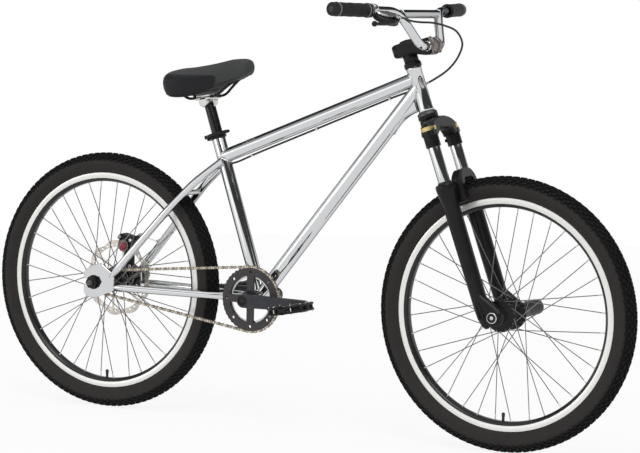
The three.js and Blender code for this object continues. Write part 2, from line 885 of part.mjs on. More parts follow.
const frontAxleBore = drill(
  at(forkOffset, -lugOuterWidth / 2, 0),
  at(forkOffset, lugOuterWidth / 2, 0),
  frontAxleRadius + seatGap,
);
const frontHubClear = bar(
  at(forkOffset, -lugInnerWidth / 2, 0),
  at(forkOffset, lugInnerWidth / 2, 0),
  frontNoseRadius + runGap,
);
piece(
  steeringGroup,
  "fork_lowers",
  cut(joined(...legParts, arch), ...lowerBores, frontAxleBore, frontHubClear),
  blackAlloy,
);

// Front axle with its end cap, in the row of the lugs
const frontGroup = placedGroup(new THREE.Matrix4().setPosition(frontAxle));
const rearGroup = placedGroup(new THREE.Matrix4().setPosition(rearAxle));
bike.add(frontGroup, rearGroup);
const lugOuter = lugOuterWidth / 2;
const frontAxleProfile = [
  [0, -lugOuter - seatGap - axleCapDepth],
  [axleCapRadius, -lugOuter - seatGap - axleCapDepth],
  [axleCapRadius, -lugOuter - seatGap],
  [frontAxleRadius, -lugOuter - seatGap],
  [frontAxleRadius, lugOuter + seatGap + pegBase + pegNeckLength],
  [0, lugOuter + seatGap + pegBase + pegNeckLength],
];
piece(frontGroup, "front_axle", turnedY(frontAxleProfile, tubeSides), darkSteel);

// Foot peg: a neck on the axle, then a hollow barrel that is open outwards
function peg(face, axleRadius) {
  const bore = axleRadius + seatGap;
  const wellFloor = face + pegNeckLength + pegBase;
  return closedRing(
    [
      [bore, face],
      [Math.max(pegNeckRadius, bore + pegWall), face],
      [Math.max(pegNeckRadius, bore + pegWall), face + pegNeckLength],
      [pegRadius, face + pegNeckLength],
      [pegRadius, face + pegLength],
      [pegRadius - pegWall, face + pegLength],
      [pegRadius - pegWall, wellFloor],
      [bore, wellFloor],
    ],
    tubeSides,
  );
}

piece(frontGroup, "front_peg", peg(lugOuter + seatGap, frontAxleRadius), darkSteel);

// Rear axle: cones inside the dropouts, a nut on the right and the peg on the left
const dropoutOuter = dropoutY + dropoutThickness / 2;
const dropoutInner = dropoutY - dropoutThickness / 2;
const coneRadius = rearAxleRadius + pegWall;
const hubLeftEnd = rotorY + rotorThickness / 2 + seatGap;
const freewheelY = -chainLine;
const hubRightEnd = freewheelY - freewheelWidth / 2;
const rearAxleRight = dropoutOuter + seatGap + axleNutHeight + axleStub;
const rearAxleShape = turnedY(
  [
    [0, -rearAxleRight],
    [rearAxleRadius, -rearAxleRight],
    [rearAxleRadius, -dropoutInner + seatGap],
    [coneRadius, -dropoutInner + seatGap],
    [coneRadius, hubRightEnd - seatGap],
    [rearAxleRadius, hubRightEnd - seatGap],
    [rearAxleRadius, hubLeftEnd + seatGap],
    [coneRadius, hubLeftEnd + seatGap],
    [coneRadius, dropoutInner - seatGap],
    [rearAxleRadius, dropoutInner - seatGap],
    [rearAxleRadius, dropoutOuter + seatGap + pegNeckLength + pegBase],
    [0, dropoutOuter + seatGap + pegNeckLength + pegBase],
  ],
  pinSides,
);
const rearNut = bar(
  at(0, -dropoutOuter - seatGap - axleNutHeight, 0),
  at(0, -dropoutOuter - seatGap, 0),
  axleNutRadius,
  nutSides,
);
piece(rearGroup, "rear_axle", joined(rearAxleShape, rearNut), darkSteel);
piece(rearGroup, "rear_peg", peg(dropoutOuter + seatGap, rearAxleRadius), blackAlloy);

// Wheels: hub, spokes, rim, inner tube and tyre
const rimProfile = [
  [rimInnerRadius, -rimBedWidth / 2],
  [rimInnerRadius, rimBedWidth / 2],
  [rimInnerRadius + rimShoulder, rimWidth / 2],
  [rimOuterRadius, rimWidth / 2],
  [rimOuterRadius, rimWidth / 2 - rimFlange],
  [rimOuterRadius - rimWellDepth, rimWidth / 2 - rimFlange],
  [rimOuterRadius - rimWellDepth, rimFlange - rimWidth / 2],
  [rimOuterRadius, rimFlange - rimWidth / 2],
  [rimOuterRadius, -rimWidth / 2],
  [rimInnerRadius + rimShoulder, -rimWidth / 2],
];
const beadHalf = rimWidth / 2 - rimFlange - seatGap;
const beadRadius = rimOuterRadius - beadDepth;
const tyreHalf = tyreSectionWidth / 2;
const tyreRiseShares = [0.44, 0.76, 0.965, 1];
const tyreWidthShares = [1, 0.86, 0.4, 0];
const cavityRiseShares = [0.44, 0.82];
const cavityWidthShares = [1, 0.72];

function mirroredProfile(half) {
  const other = half.filter(([, y]) => y !== 0).map(([radius, y]) => [radius, -y]);
  return [...half, ...other.reverse()];
}

// Points of a line inside the tyre, drawn in from its outer face by an inset.
function insideLine(riseShares, widthShares, inset) {
  return riseShares.map((share, i) => [
    rimOuterRadius + share * tyreHeight,
    widthShares[i] * (tyreHalf - inset),
  ]);
}

const tyreProfile = [
  ...mirroredProfile([
    [beadRadius, beadHalf],
    [rimOuterRadius + 2 * seatGap, beadHalf],
    ...insideLine(tyreRiseShares, tyreWidthShares, 0),
  ]),
  ...mirroredProfile([[beadRadius, beadHalf - tyreWall], ...insideLine(cavityRiseShares, cavityWidthShares, tyreWall)]).reverse(),
];

// The inner tube has fewer facets than the tyre, so its place allows for the flats of both.
const ringSag = 1 - Math.cos(turn / ringSides / 2);
const tubeSag = 1 - Math.cos(turn / tubeRingSides / 2);
const tubeInset = tyreWall + seatGap + wheelRadius * ringSag;
const innerTubeHalf = mirroredProfile([
  [(rimOuterRadius + seatGap) / (1 - tubeSag), beadHalf - tyreWall - 2 * seatGap],
  [rimOuterRadius + cavityRiseShares[0] * tyreHeight, tyreHalf - tubeInset - 2 * seatGap],
  [rimOuterRadius + cavityRiseShares[1] * tyreHeight - tubeInset / 2, (tyreHalf - tubeInset) * cavityWidthShares[1]],
]);

// One side of the spokes: cut flat as leading and trailing strips, then bent to the cone from flange to rim.
function spokeSet(side, flangeRadius, flangeY) {
  const perSide = spokeCount / 2;
  const step = turn / perSide;
  const holeRadius = flangeRadius - flangeThickness;
  const footRadius = flangeRadius + seatGap + spokeRadius;
  const rimReach = rimInnerRadius * (1 - ringSag) - seatGap;
  const shift = side > 0 ? step / 4 : (3 * step) / 4;
  const strips = Array.from({ length: perSide }, (_, i) => {
    const hubAngle = i * step + shift;
    const rimAngle = hubAngle + (i % 2 ? -1 : 1) * spokeCross * step;
    const hole = new THREE.Vector2(holeRadius, 0).rotateAround(new THREE.Vector2(), hubAngle);
    const tip = new THREE.Vector2(rimReach, 0).rotateAround(new THREE.Vector2(), rimAngle);
    const way = tip.clone().sub(hole).normalize();
    const along = hole.dot(way);
    const leave = Math.sqrt(along ** 2 + footRadius ** 2 - holeRadius ** 2) - along;
    const foot = hole.clone().addScaledVector(way, leave);
    const across = new THREE.Vector2(-way.y, way.x).multiplyScalar(spokeRadius);
    const corners = [foot.clone().sub(across), tip.clone().sub(across), tip.clone().add(across), foot.clone().add(across)];
    return plateXZ(
      corners.map((corner) => [corner.x, corner.y]),
      -spokeRadius,
      spokeRadius,
    );
  });
  const flat = geometryOf(joined(...strips));
  const points = flat.attributes.position;
  for (let i = 0; i < points.count; i++) {
    const share = (Math.hypot(points.getX(i), points.getZ(i)) - footRadius) / (rimReach - footRadius);
    points.setY(i, points.getY(i) + side * (flangeY + (spokeRimOffset - flangeY) * share));
  }
  return solidOf(flat);
}

function flangedHub(flangeRadius, flangeY, coreRadius, bore, leftNose, rightNose) {
  const [leftRadius, leftEnd] = leftNose;
  const [rightRadius, rightEnd] = rightNose;
  const half = flangeThickness / 2;
  return closedRing(
    [
      [bore, rightEnd],
      [rightRadius, rightEnd],
      [rightRadius, -flangeY - half],
      [flangeRadius, -flangeY - half],
      [flangeRadius, -flangeY + half],
      [coreRadius, -flangeY + 2 * flangeThickness],
      [coreRadius, flangeY - 2 * flangeThickness],
      [flangeRadius, flangeY - half],
      [flangeRadius, flangeY + half],
      [leftRadius, flangeY + half],
      [leftRadius, leftEnd],
      [bore, leftEnd],
    ],
    hubSides,
  );
}

function wheel(group, name, hub, flangeRadius, flangeY) {
  const valveHole = drill(at(0, 0, -rimOuterRadius), at(0, 0, -rimInnerRadius), valveRadius + seatGap, cableSides);
  const rim = cut(closedRing(rimProfile, ringSides), valveHole);
  const valveTop = -(rimOuterRadius + tyreHeight * valveTopShare);
  const valve = bar(at(0, 0, valveTop), at(0, 0, valveLength - rimOuterRadius), valveRadius, cableSides);
  const innerTube = closedRing(innerTubeHalf, tubeRingSides);
  piece(group, name + "_hub", hub, blackAlloy);
  piece(group, name + "_spokes_left", spokeSet(1, flangeRadius, flangeY), darkSteel);
  piece(group, name + "_spokes_right", spokeSet(-1, flangeRadius, flangeY), darkSteel);
  piece(group, name + "_rim", rim, polishedAlloy);
  piece(group, name + "_inner_tube", joined(innerTube, valve), tubeRubber);
  piece(group, name + "_tyre", closedRing(tyreProfile, ringSides), tyreRubber);
}

const frontHubEnd = lugInnerWidth / 2 - seatGap;
const frontHub = flangedHub(
  frontFlangeRadius,
  frontFlangeY,
  frontCoreRadius,
  frontAxleRadius + seatGap,
  [frontNoseRadius, frontHubEnd],
  [frontNoseRadius, -frontHubEnd],
);
wheel(frontGroup, "front", frontHub, frontFlangeRadius, frontFlangeY);

const rearHub = flangedHub(
  rearFlangeRadius,
  rearFlangeY,
  rearCoreRadius,
  rearAxleRadius + seatGap,
  [rotorBossRadius, hubLeftEnd],
  [freewheelBossRadius, hubRightEnd],
);
wheel(rearGroup, "rear", rearHub, rearFlangeRadius, rearFlangeY);

// Disc rotor: a braking band, and arms to the hub
function sector(innerRadius, outerRadius, start, sweep, steps) {
  const arc = (radius, from, to) =>
    Array.from({ length: steps + 1 }, (_, i) => {
      const angle = from + ((to - from) * i) / steps;
      return [radius * Math.cos(angle), radius * Math.sin(angle)];
    });
  return [...arc(outerRadius, start, start + sweep), ...arc(innerRadius, start + sweep, start)];
}

// The windows left between straight arms of a given width.
function windows(innerRadius, outerRadius, count, armWidth, steps) {
  const outerGap = Math.asin(armWidth / 2 / outerRadius);
  const innerGap = Math.asin(armWidth / 2 / innerRadius);
  return Array.from({ length: count }, (_, i) => {
    const start = (turn * i) / count;
    const end = start + turn / count;
    const arc = (radius, from, to) =>
      Array.from({ length: steps + 1 }, (_, k) => {
        const angle = from + ((to - from) * k) / steps;
        return [radius * Math.cos(angle), radius * Math.sin(angle)];
      });
    return [...arc(outerRadius, start + outerGap, end - outerGap), ...arc(innerRadius, end - innerGap, start + innerGap)];
  });
}

const rotorHubRadius = rotorBossRadius * rotorHubShare;
const rotorHoles = [
  circle(0, 0, rotorBossRadius + seatGap, hubSides),
  ...windows(rotorHubRadius, rotorRadius - rotorBand, rotorArms, rotorArmWidth, armSteps),
];
piece(
  rearGroup,
  "brake_rotor",
  plateXZ(circle(0, 0, rotorRadius, ringSides), rotorY - rotorThickness / 2, rotorY + rotorThickness / 2, rotorHoles),
  rotorSteel,
);

// Sprockets: pointed teeth on the pitch circle
function pitchRadius(teeth) {
  return chainPitch / 2 / Math.sin(Math.PI / teeth);
}

function toothOutline(teeth) {
  const root = pitchRadius(teeth) - chainHalfHeight - seatGap;
  const tip = pitchRadius(teeth) + toothReach;
  return Array.from({ length: teeth * 2 }, (_, i) => {
    const radius = i % 2 ? tip : root;
    const angle = (Math.PI * i) / teeth;
    return [radius * Math.cos(angle), radius * Math.sin(angle)];
  });
}

const cogTeethPlate = plateXZ(
  toothOutline(cogTeeth),
  freewheelY - toothThickness / 2,
  freewheelY + toothThickness / 2,
);
const freewheelBody = bar(
  at(0, freewheelY - freewheelWidth / 2, 0),
  at(0, freewheelY + freewheelWidth / 2, 0),
  freewheelBodyRadius,
  hubSides,
);
const freewheelBore = drill(
  at(0, freewheelY - freewheelWidth / 2, 0),
  at(0, freewheelY + freewheelWidth / 2, 0),
  freewheelBossRadius + seatGap,
  hubSides,
);
piece(rearGroup, "freewheel_cog", cut(joined(cogTeethPlate, freewheelBody), freewheelBore), darkSteel);

// Chain: one closed loop whose channel leaves the teeth free to run
const ringPitch = pitchRadius(chainringTeeth);
const cogPitch = pitchRadius(cogTeeth);

function chainLoop(offset, lowY, highY) {
  const outline = beltOutline(
    [rearAxle.x, rearAxle.z],
    cogPitch + offset,
    [bracket.x, bracket.z],
    ringPitch + offset,
    cogSteps,
    ringSteps,
  );
  return plateXZ(outline, lowY, highY);
}

const chainFaces = [-chainLine - chainWidth / 2, -chainLine + chainWidth / 2];
const channelFaces = [-chainLine - channelWidth / 2, -chainLine + channelWidth / 2];
const chain = cut(
  chainLoop(chainHalfHeight, ...chainFaces),
  chainLoop(-chainHalfHeight, chainFaces[0] - overrun, chainFaces[1] + overrun),
  chainLoop(toothReach + runGap, ...channelFaces),
);
piece(bike, "chain", chain, chainSteel);

// Chainring with four arms and a ring of small holes
const crankGroup = placedGroup(new THREE.Matrix4().setPosition(bracket));
bike.add(crankGroup);
const ringBody = ringPitch - chainHalfHeight;
const ringHolePlace = ringBody - ringBand / 2;
const ringSmallHoles = Array.from({ length: ringHoleCount }, (_, i) => {
  const angle = (turn * i) / ringHoleCount;
  return circle(ringHolePlace * Math.cos(angle), ringHolePlace * Math.sin(angle), ringHoleRadius, holeSides);
});
const ringHoles = [
  circle(0, 0, spindleRadius + seatGap, hubSides),
  ...windows(ringHubRadius, ringBody - ringBand, ringArmCount, ringArmWidth, windowSteps),
  ...ringSmallHoles,
];
const ringFaces = [-chainLine - toothThickness / 2, -chainLine + toothThickness / 2];
piece(crankGroup, "chainring", plateXZ(toothOutline(chainringTeeth), ...ringFaces, ringHoles), darkRing);

// Crank arms: the right arm points forward, and the left one holds the spindle and points back
function crankArm(side, reach) {
  const outer = side * crankOuterY;
  const inner = side * (crankOuterY - crankThickness);
  const faces = [Math.min(inner, outer), Math.max(inner, outer)];
  const big = [0, 0];
  const small = [reach, 0];
  const outline =
    reach > 0
      ? beltOutline(big, crankBossRadius, small, crankEyeRadius, cogSteps, cogSteps)
      : beltOutline(small, crankEyeRadius, big, crankBossRadius, cogSteps, cogSteps);
  const pedalEnd = side * (crankOuterY + pedalGap + pedalWidth - pedalRail / 2);
  const pedalAxle = bar(at(reach, inner, 0), at(reach, pedalEnd, 0), pedalAxleRadius, cableSides);
  return joined(plateXZ(outline, ...faces), pedalAxle);
}

const bossInnerRight = -chainLine - toothThickness / 2 - seatGap;
const rightBoss = bar(at(0, -crankOuterY, 0), at(0, bossInnerRight, 0), crankBossRadius, hubSides);
const spindleBore = drill(at(0, -crankOuterY, 0), at(0, bossInnerRight, 0), spindleRadius + seatGap, hubSides);
piece(
  crankGroup,
  "crank_arm_right",
  cut(joined(crankArm(-1, crankLength), rightBoss), spindleBore),
  crankGrey,
);
const leftBoss = bar(
  at(0, bracketShellWidth / 2 + seatGap, 0),
  at(0, crankOuterY, 0),
  crankBossRadius,
  hubSides,
);
const spindle = bar(at(0, -crankOuterY - seatGap, 0), at(0, crankOuterY, 0), spindleRadius, hubSides);
piece(crankGroup, "crank_arm_left", joined(crankArm(1, -crankLength), leftBoss, spindle), crankGrey);

// Platform pedals: a barrel on the axle and a cage round it
const pedalPlanXShares = [-0.5, -0.5, -0.3, 0.3, 0.5, 0.5, 0.3, -0.3];
const pedalPlanYShares = [0.14, 0.86, 1, 1, 0.86, 0.14, 0, 0];

function pedal(side) {
  const innerY = crankOuterY + pedalGap;
  const outline = pedalPlanXShares.map((share, i) => [
    share * pedalLength,
    side * (innerY + pedalPlanYShares[i] * pedalWidth),
  ]);
  const windowX = [pedalBarrelRadius * pedalWindowShare, pedalLength / 2 - pedalRail];
  const windowY = [innerY + pedalRail, innerY + pedalWidth - pedalRail];
  const holes = [1, -1].map((way) => [
    [way * windowX[0], side * windowY[0]],
    [way * windowX[1], side * (windowY[0] + pedalRail / 2)],
    [way * windowX[1], side * (windowY[1] - pedalRail / 2)],
    [way * windowX[0], side * windowY[1]],
  ]);
  const ends = [at(0, side * innerY, 0), at(0, side * (innerY + pedalWidth), 0)];
  const cage = plateXY(outline, -pedalHeight / 2, pedalHeight / 2, holes);
  const bore = bar(
    ends[0].clone().setY(side * (innerY - overrun)),
    ends[0].clone().setY(side * (innerY + pedalWidth - pedalRail / 2 + seatGap)),
    pedalAxleRadius + runGap,
    cableSides,
  );
  return cut(joined(cage, bar(...ends, pedalBarrelRadius, jointSides)), bore);
}

for (const [side, hand, reach] of [
  [-1, "right", crankLength],
  [1, "left", -crankLength],
]) {
  const pedalGroup = placedGroup(new THREE.Matrix4().setPosition(at(reach, 0, 0)));
  crankGroup.add(pedalGroup);
  piece(pedalGroup, "pedal_" + hand, pedal(side), blackAlloy);
}

// Rear caliper: it straddles the rotor, and its foot is bolted inside the left dropout
const caliperPlace = new THREE.Matrix4().makeRotationY(-radians(caliperAngle)).setPosition(rearAxle);
const caliperGroup = placedGroup(caliperPlace);
bike.add(caliperGroup);
const caliperLow = rotorY - caliperInnerHalf;
const caliperHigh = rotorY + caliperOuterHalf;
const caliperBlock = box(
  at(padRadius - caliperReach * caliperInShare, caliperLow, -caliperLength / 2),
  at(padRadius + caliperReach * caliperOutShare, caliperHigh, caliperLength / 2),
);
const discSlot = box(
  at(
    padRadius - caliperReach * caliperInShare - overrun,
    rotorY - rotorThickness / 2 - runGap,
    -caliperLength / 2 - overrun,
  ),
  at(rotorRadius + runGap, rotorY + rotorThickness / 2 + runGap, caliperLength / 2 + overrun),
);
const bracketFaces = [dropoutInner - dropoutThickness - seatGap, dropoutInner - seatGap];
const caliperFoot = plateXZ(
  beltOutline(
    [dropoutHeight * caliperFootRiseShare, -dropoutLength * caliperFootBackShare],
    caliperReach * caliperFootShare,
    [padRadius, 0],
    caliperReach,
    linkSteps,
    linkSteps,
  ),
  ...bracketFaces,
);
const caliperSpan = cut(joined(caliperBlock, caliperFoot), discSlot);
piece(caliperGroup, "brake_caliper", caliperSpan, blackAlloy);

// Caliper arm, which the cable pulls, on the outer face of the caliper
const armOutline = beltOutline(
  [padRadius, 0],
  knobRadius,
  [padRadius + caliperArmLength * caliperArmOutShare, -caliperArmLength * caliperArmBackShare],
  knobRadius / 2,
  linkSteps,
  linkSteps,
);
piece(
  caliperGroup,
  "brake_caliper_arm",
  plateXZ(armOutline, caliperHigh + seatGap, caliperHigh + seatGap + caliperArmThickness),
  polishedAlloy,
);

// Pad adjuster, a toothed knob on the inner face of the caliper
piece(
  caliperGroup,
  "brake_adjuster_knob",
  bar(at(padRadius, caliperLow - seatGap - knobDepth, 0), at(padRadius, caliperLow - seatGap, 0), knobRadius, jointSides),
  redKnob,
);

// Stem: clamps the steerer behind and the bars in front
const stemRearBlock = box(
  at(-stemClampRear, -stemClampWidth / 2, stemFoot),
  at(steererRadius, stemClampWidth / 2, stemTop),
);
const stemSpacer = bar(at(0, 0, upperHeadsetTop + seatGap), at(0, 0, stemFoot), spacerRadius, hubSides);
const stemMiddle = (stemFoot + stemTop) / 2;
const stemArm = plateXZ(
  beltOutline(
    [0, stemMiddle],
    stemArmRadius,
    [stemReach, barHeight],
    barClampRadius + barClampWall,
    linkSteps,
    clampSteps,
  ),
  -stemArmWidth / 2,
  stemArmWidth / 2,
);
const barCentre = at(stemReach, 0, barHeight);
const barBore = drill(
  at(stemReach, -stemArmWidth / 2, barHeight),
  at(stemReach, stemArmWidth / 2, barHeight),
  barClampRadius + seatGap,
  hubSides,
);
const stemSteererBore = drill(at(0, 0, upperHeadsetTop), at(0, 0, stemTop), steererRadius + seatGap, hubSides);
const stemBodyFront = box(
  at(stemReach - seatGap, -stemArmWidth, barHeight - stemClampHeight),
  at(stemReach + stemClampHeight, stemArmWidth, barHeight + stemClampHeight),
);
piece(
  steeringGroup,
  "stem",
  cut(joined(stemRearBlock, stemArm, stemSpacer), stemSteererBore, barBore, stemBodyFront),
  blackAlloy,
);

// Faceplate that closes the front of the bar clamp
const faceplateRound = bar(
  at(stemReach, -stemArmWidth / 2, barHeight),
  at(stemReach, stemArmWidth / 2, barHeight),
  barClampRadius + barClampWall,
  hubSides,
);
const faceplateRear = box(
  at(stemReach - stemClampHeight, -stemArmWidth, barHeight - stemClampHeight),
  at(stemReach, stemArmWidth, barHeight + stemClampHeight),
);
piece(steeringGroup, "stem_faceplate", cut(faceplateRound, barBore, faceplateRear), crankGrey);

// Handlebar: a low clamp section, two uprights with a crossbar, and swept grip ends
function barCorners(side) {
  return [
    at(stemReach, 0, barHeight),
    at(stemReach, (side * barClampWidth) / 2, barHeight),
    at(stemReach - barLayback, (side * barUprightSpan) / 2, barHeight + barRise),
    at(stemReach - barBacksweep, (side * barWidth) / 2, barHeight + barRise + barUpsweep),
  ];
}

const barRoute = [...barCorners(-1).slice(1).reverse(), ...barCorners(1).slice(1)];
const crossbarShare = 1 - crossbarDrop / barRise;
const crossbarFrom = barCorners(-1)[1].lerp(barCorners(-1)[2], crossbarShare);
const crossbarTo = barCorners(1)[1].lerp(barCorners(1)[2], crossbarShare);
const handlebar = joined(
  pipe(
    rounded(barRoute, (corner) => (corner === 2 || corner === 3 ? barFootBend : barBend)),
    barRadius,
    jointSides,
  ),
  bar(crossbarFrom, crossbarTo, crossbarRadius, jointSides),
  bar(
    at(stemReach, -stemArmWidth / 2 - seatGap, barHeight),
    at(stemReach, stemArmWidth / 2 + seatGap, barHeight),
    barClampRadius,
    hubSides,
  ),
);
piece(steeringGroup, "handlebar", handlebar, chromePlate);

// The straight end of the bar as a frame: its Y runs along the bar towards the rider's left.
function barEndPlace(side) {
  const [, , bend, end] = barCorners(side);
  const left = end.clone().sub(bend).normalize().multiplyScalar(side);
  const forward = left.clone().cross(alongZ).normalize();
  const up = forward.clone().cross(left);
  return new THREE.Matrix4().makeBasis(forward, left, up).setPosition(end);
}

const gripProfile = [
  [0, -seatGap],
  [barRadius + seatGap, -seatGap],
  [barRadius + seatGap, gripLength],
  [gripFlangeRadius, gripLength],
  [gripFlangeRadius, gripLength - gripFlange],
  [gripRadius, gripLength - gripFlange],
  [gripRadius, -seatGap - gripEnd],
  [0, -seatGap - gripEnd],
];

for (const [side, hand] of [
  [1, "left"],
  [-1, "right"],
]) {
  const endGroup = placedGroup(barEndPlace(side));
  steeringGroup.add(endGroup);
  const profile = gripProfile.map(([radius, inward]) => [radius, -side * inward]);
  piece(endGroup, "grip_" + hand, turnedY(profile, tubeSides), gripRubber);
}

// Brake lever on the right: its frame is turned down about the bar
const leverPlace = barEndPlace(-1).multiply(new THREE.Matrix4().makeRotationY(radians(leverTilt)));
const leverGroup = placedGroup(leverPlace);
steeringGroup.add(leverGroup);
const perchEnds = [at(0, perchInboard - perchWidth / 2, 0), at(0, perchInboard + perchWidth / 2, 0)];
const perchRing = bar(...perchEnds, perchRadius);
const perchPivotY = perchInboard + perchPivotInboard;
const perchHousing = box(
  at(barRadius + 2 * seatGap, perchInboard - perchWidth / 2, -perchBody / 2),
  at(leverPivotReach - leverWidth / 2 - leverGap, perchInboard + perchLength, perchBody / 2),
);
const perchEars = [-1, 1].map((way) => {
  const inner = way * (leverThickness / 2 + leverGap);
  const outer = way * (leverThickness / 2 + leverGap + perchEarThickness);
  return plateXY(
    beltOutline(
      [perchRadius + leverPinRadius, perchPivotY],
      leverWidth / 2,
      [leverPivotReach, perchPivotY],
      leverWidth * perchEarShare,
      earSteps,
      linkSteps,
    ),
    Math.min(inner, outer),
    Math.max(inner, outer),
  );
});
const barrel = bar(
  at(leverPivotReach * barrelReachShare, perchInboard + perchLength, 0),
  at(leverPivotReach * barrelReachShare, perchInboard + perchLength + perchBody, 0),
  barrelRadius,
  cableSides,
);
const perchPin = bar(
  at(leverPivotReach, perchPivotY, -leverThickness / 2 - leverGap - perchEarThickness),
  at(leverPivotReach, perchPivotY, leverThickness / 2 + leverGap + perchEarThickness),
  leverPinRadius,
  cableSides,
);
piece(
  leverGroup,
  "brake_lever_perch",
  cut(joined(perchRing, perchHousing, ...perchEars, barrel, perchPin), drill(...perchEnds, barRadius + seatGap)),
  blackAlloy,
);

const leverFlareShares = [0, 0.5, 0.8, 0.95, 1];
const leverAlongShares = [0, 0.18, 0.42, 0.7, 1];
const leverLine = leverAlongShares.map((share, i) => [
  leverPivotReach + leverFlare * leverFlareShares[i],
  perchPivotY - leverLength * share,
]);
const leverOutline = [
  ...leverLine.map(([x, y]) => [x - leverWidth / 2, y]),
  ...leverLine.map(([x, y]) => [x + leverWidth / 2, y]).reverse(),
];
const leverTip = leverLine[leverLine.length - 1];
const leverBall = new THREE.SphereGeometry(leverBallRadius, ballSides, ballRings);
leverBall.rotateX(quarter);
leverBall.translate(leverTip[0], leverTip[1], 0);
const leverBoss = bar(
  at(leverPivotReach, perchPivotY, -leverThickness / 2),
  at(leverPivotReach, perchPivotY, leverThickness / 2),
  leverWidth / 2,
  jointSides,
);
const leverHole = drill(
  at(leverPivotReach, perchPivotY, -leverThickness / 2),
  at(leverPivotReach, perchPivotY, leverThickness / 2),
  leverPinRadius + seatGap,
  cableSides,
);
piece(
  leverGroup,
  "brake_lever",
  cut(
    joined(plateXY(leverOutline, -leverThickness / 2, leverThickness / 2), leverBoss, solidOf(leverBall)),
    leverHole,
  ),
  blackAlloy,
);

// Seat collar with its ears and bolt behind the tube
const collarFoot = seatTubeLength - collarHeight;
const collarTop = seatTubeLength + seatGap;
const collarMiddle = (collarFoot + collarTop) / 2;
const earRear = -(collarRadius + collarEarLength);
const boltX = earRear + collarEarLength / 2;
const collarBody = joined(
  bar(at(0, 0, collarFoot), at(0, 0, collarTop), collarRadius, hubSides),
  box(at(earRear, -collarEarWidth / 2, collarFoot), at(-seatTubeRadius, collarEarWidth / 2, collarTop)),
);
const collarBolt = joined(
  bar(at(boltX, -collarEarWidth / 2, collarMiddle), at(boltX, collarEarWidth / 2, collarMiddle), clampBoltRadius, boltSides),
  bar(
    at(boltX, collarEarWidth / 2, collarMiddle),
    at(boltX, collarEarWidth / 2 + leverBladeWidth, collarMiddle),
    clampBoltHead,
    boltSides,
  ),
);
const collarSlotCut = box(
  at(earRear - overrun, -collarSlot / 2, collarFoot - overrun),
  at(0, collarSlot / 2, collarTop + overrun),
);
const collarCut = cut(
  collarBody,
  drill(at(0, 0, collarFoot), at(0, 0, collarTop), seatTubeRadius + seatGap),
  collarSlotCut,
);
piece(seatGroup, "seat_collar", joined(collarCut, collarBolt), blackAlloy);

// Clamp lever: a cam beside the ears and a blade that wraps forward round the collar
const camY = -(collarEarWidth / 2 + seatGap + leverBladeWidth);
const bladeRadius = collarRadius + leverBladeWidth;
const bladeAngleShares = [0, 0.25, 0.5, 0.75, 1];
const bladeSweep = leverBladeLength / bladeRadius;
const bladeStart = Math.PI + Math.asin(-camY / (bladeRadius + leverBladeWidth / 2));
const bladeLine = (radius) =>
  bladeAngleShares.map((share) => {
    const angle = bladeStart + bladeSweep * share;
    return [radius * Math.cos(angle), radius * Math.sin(angle)];
  });
const bladeMiddle = collarMiddle + leverBladeRise;
const bladeTip = (radius) => {
  const line = bladeLine(radius);
  const end = line[line.length - 1];
  const way = end.map((value, i) => value - line[line.length - 2][i]);
  const share = leverBladeTip / Math.hypot(...way);
  return end.map((value, i) => value + way[i] * share);
};
const bladeFaces = [bladeMiddle - leverBladeHeight / 2, bladeMiddle + leverBladeHeight / 2];
const bladeOutside = bladeRadius + leverBladeWidth;
const blade = plateXY(
  [...bladeLine(bladeRadius), bladeTip(bladeRadius), bladeTip(bladeOutside), ...bladeLine(bladeOutside).reverse()],
  ...bladeFaces,
);
const cam = bar(at(boltX, camY, bladeFaces[0]), at(boltX, camY, bladeFaces[1]), leverBladeWidth, jointSides);
piece(seatGroup, "seat_clamp_lever", joined(blade, cam), blackAlloy);

// Saddle: a crowned pad with drawn-in sides over two rails
const saddleAlongShares = [0, 0.016, 0.056, 0.127, 0.214, 0.31, 0.405, 0.516, 0.627, 0.738, 0.849, 0.929, 0.972, 1];
const saddleWidthShares = [0.49, 0.72, 0.88, 0.975, 1, 0.94, 0.81, 0.6, 0.44, 0.36, 0.32, 0.3, 0.24, 0.12];
const saddleTopShares = [0.46, 0.564, 0.64, 0.692, 0.726, 0.756, 0.79, 0.835, 0.888, 0.947, 1, 1.015, 0.975, 0.89];
const saddleFootShares = [0.25, 0.18, 0.13, 0.1, 0.1, 0.12, 0.17, 0.26, 0.37, 0.46, 0.54, 0.61, 0.66, 0.73];
const saddleSectionCount = 16;
const saddleSquareness = 0.62;
const saddleTuckShare = 0.12;
const saddleSkirtShare = 1.24;
const saddleInsideShare = 0.75;
const clampPoint = onSeatAxis(saddleHeightOnPost);
const saddleFrame = new THREE.Matrix4().makeRotationY(-radians(saddleTilt)).setPosition(clampPoint);
const cushionFrame = new THREE.Matrix4().setPosition(clampPoint);

function saddleRing(index) {
  const x = saddleAlongShares[index] * saddleLength - saddleBehindClamp;
  const half = (saddleWidthShares[index] * saddleWidth) / 2;
  const top = saddleTopShares[index] * saddleHeight - saddleBelowClamp;
  const foot = saddleFootShares[index] * saddleHeight - saddleBelowClamp;
  const middle = (top + foot) / 2;
  return Array.from({ length: saddleSectionCount }, (_, i) => {
    const angle = (turn * i) / saddleSectionCount;
    const across = Math.sign(Math.cos(angle)) * Math.abs(Math.cos(angle)) ** saddleSquareness;
    const rise = Math.sign(Math.sin(angle)) * Math.abs(Math.sin(angle)) ** saddleSquareness;
    const tuck = rise < 0 ? 1 + rise * saddleTuckShare : 1;
    const skirt = Math.max(-1, rise * saddleSkirtShare);
    const inside = rise < 0 && Math.abs(across) < saddleInsideShare;
    const hollow = inside ? saddleArch * (1 - across ** 2) * saddleWidthShares[index] : 0;
    return at(x, half * across * tuck, middle + ((rise < 0 ? skirt : rise) * (top - foot)) / 2 + hollow);
  });
}

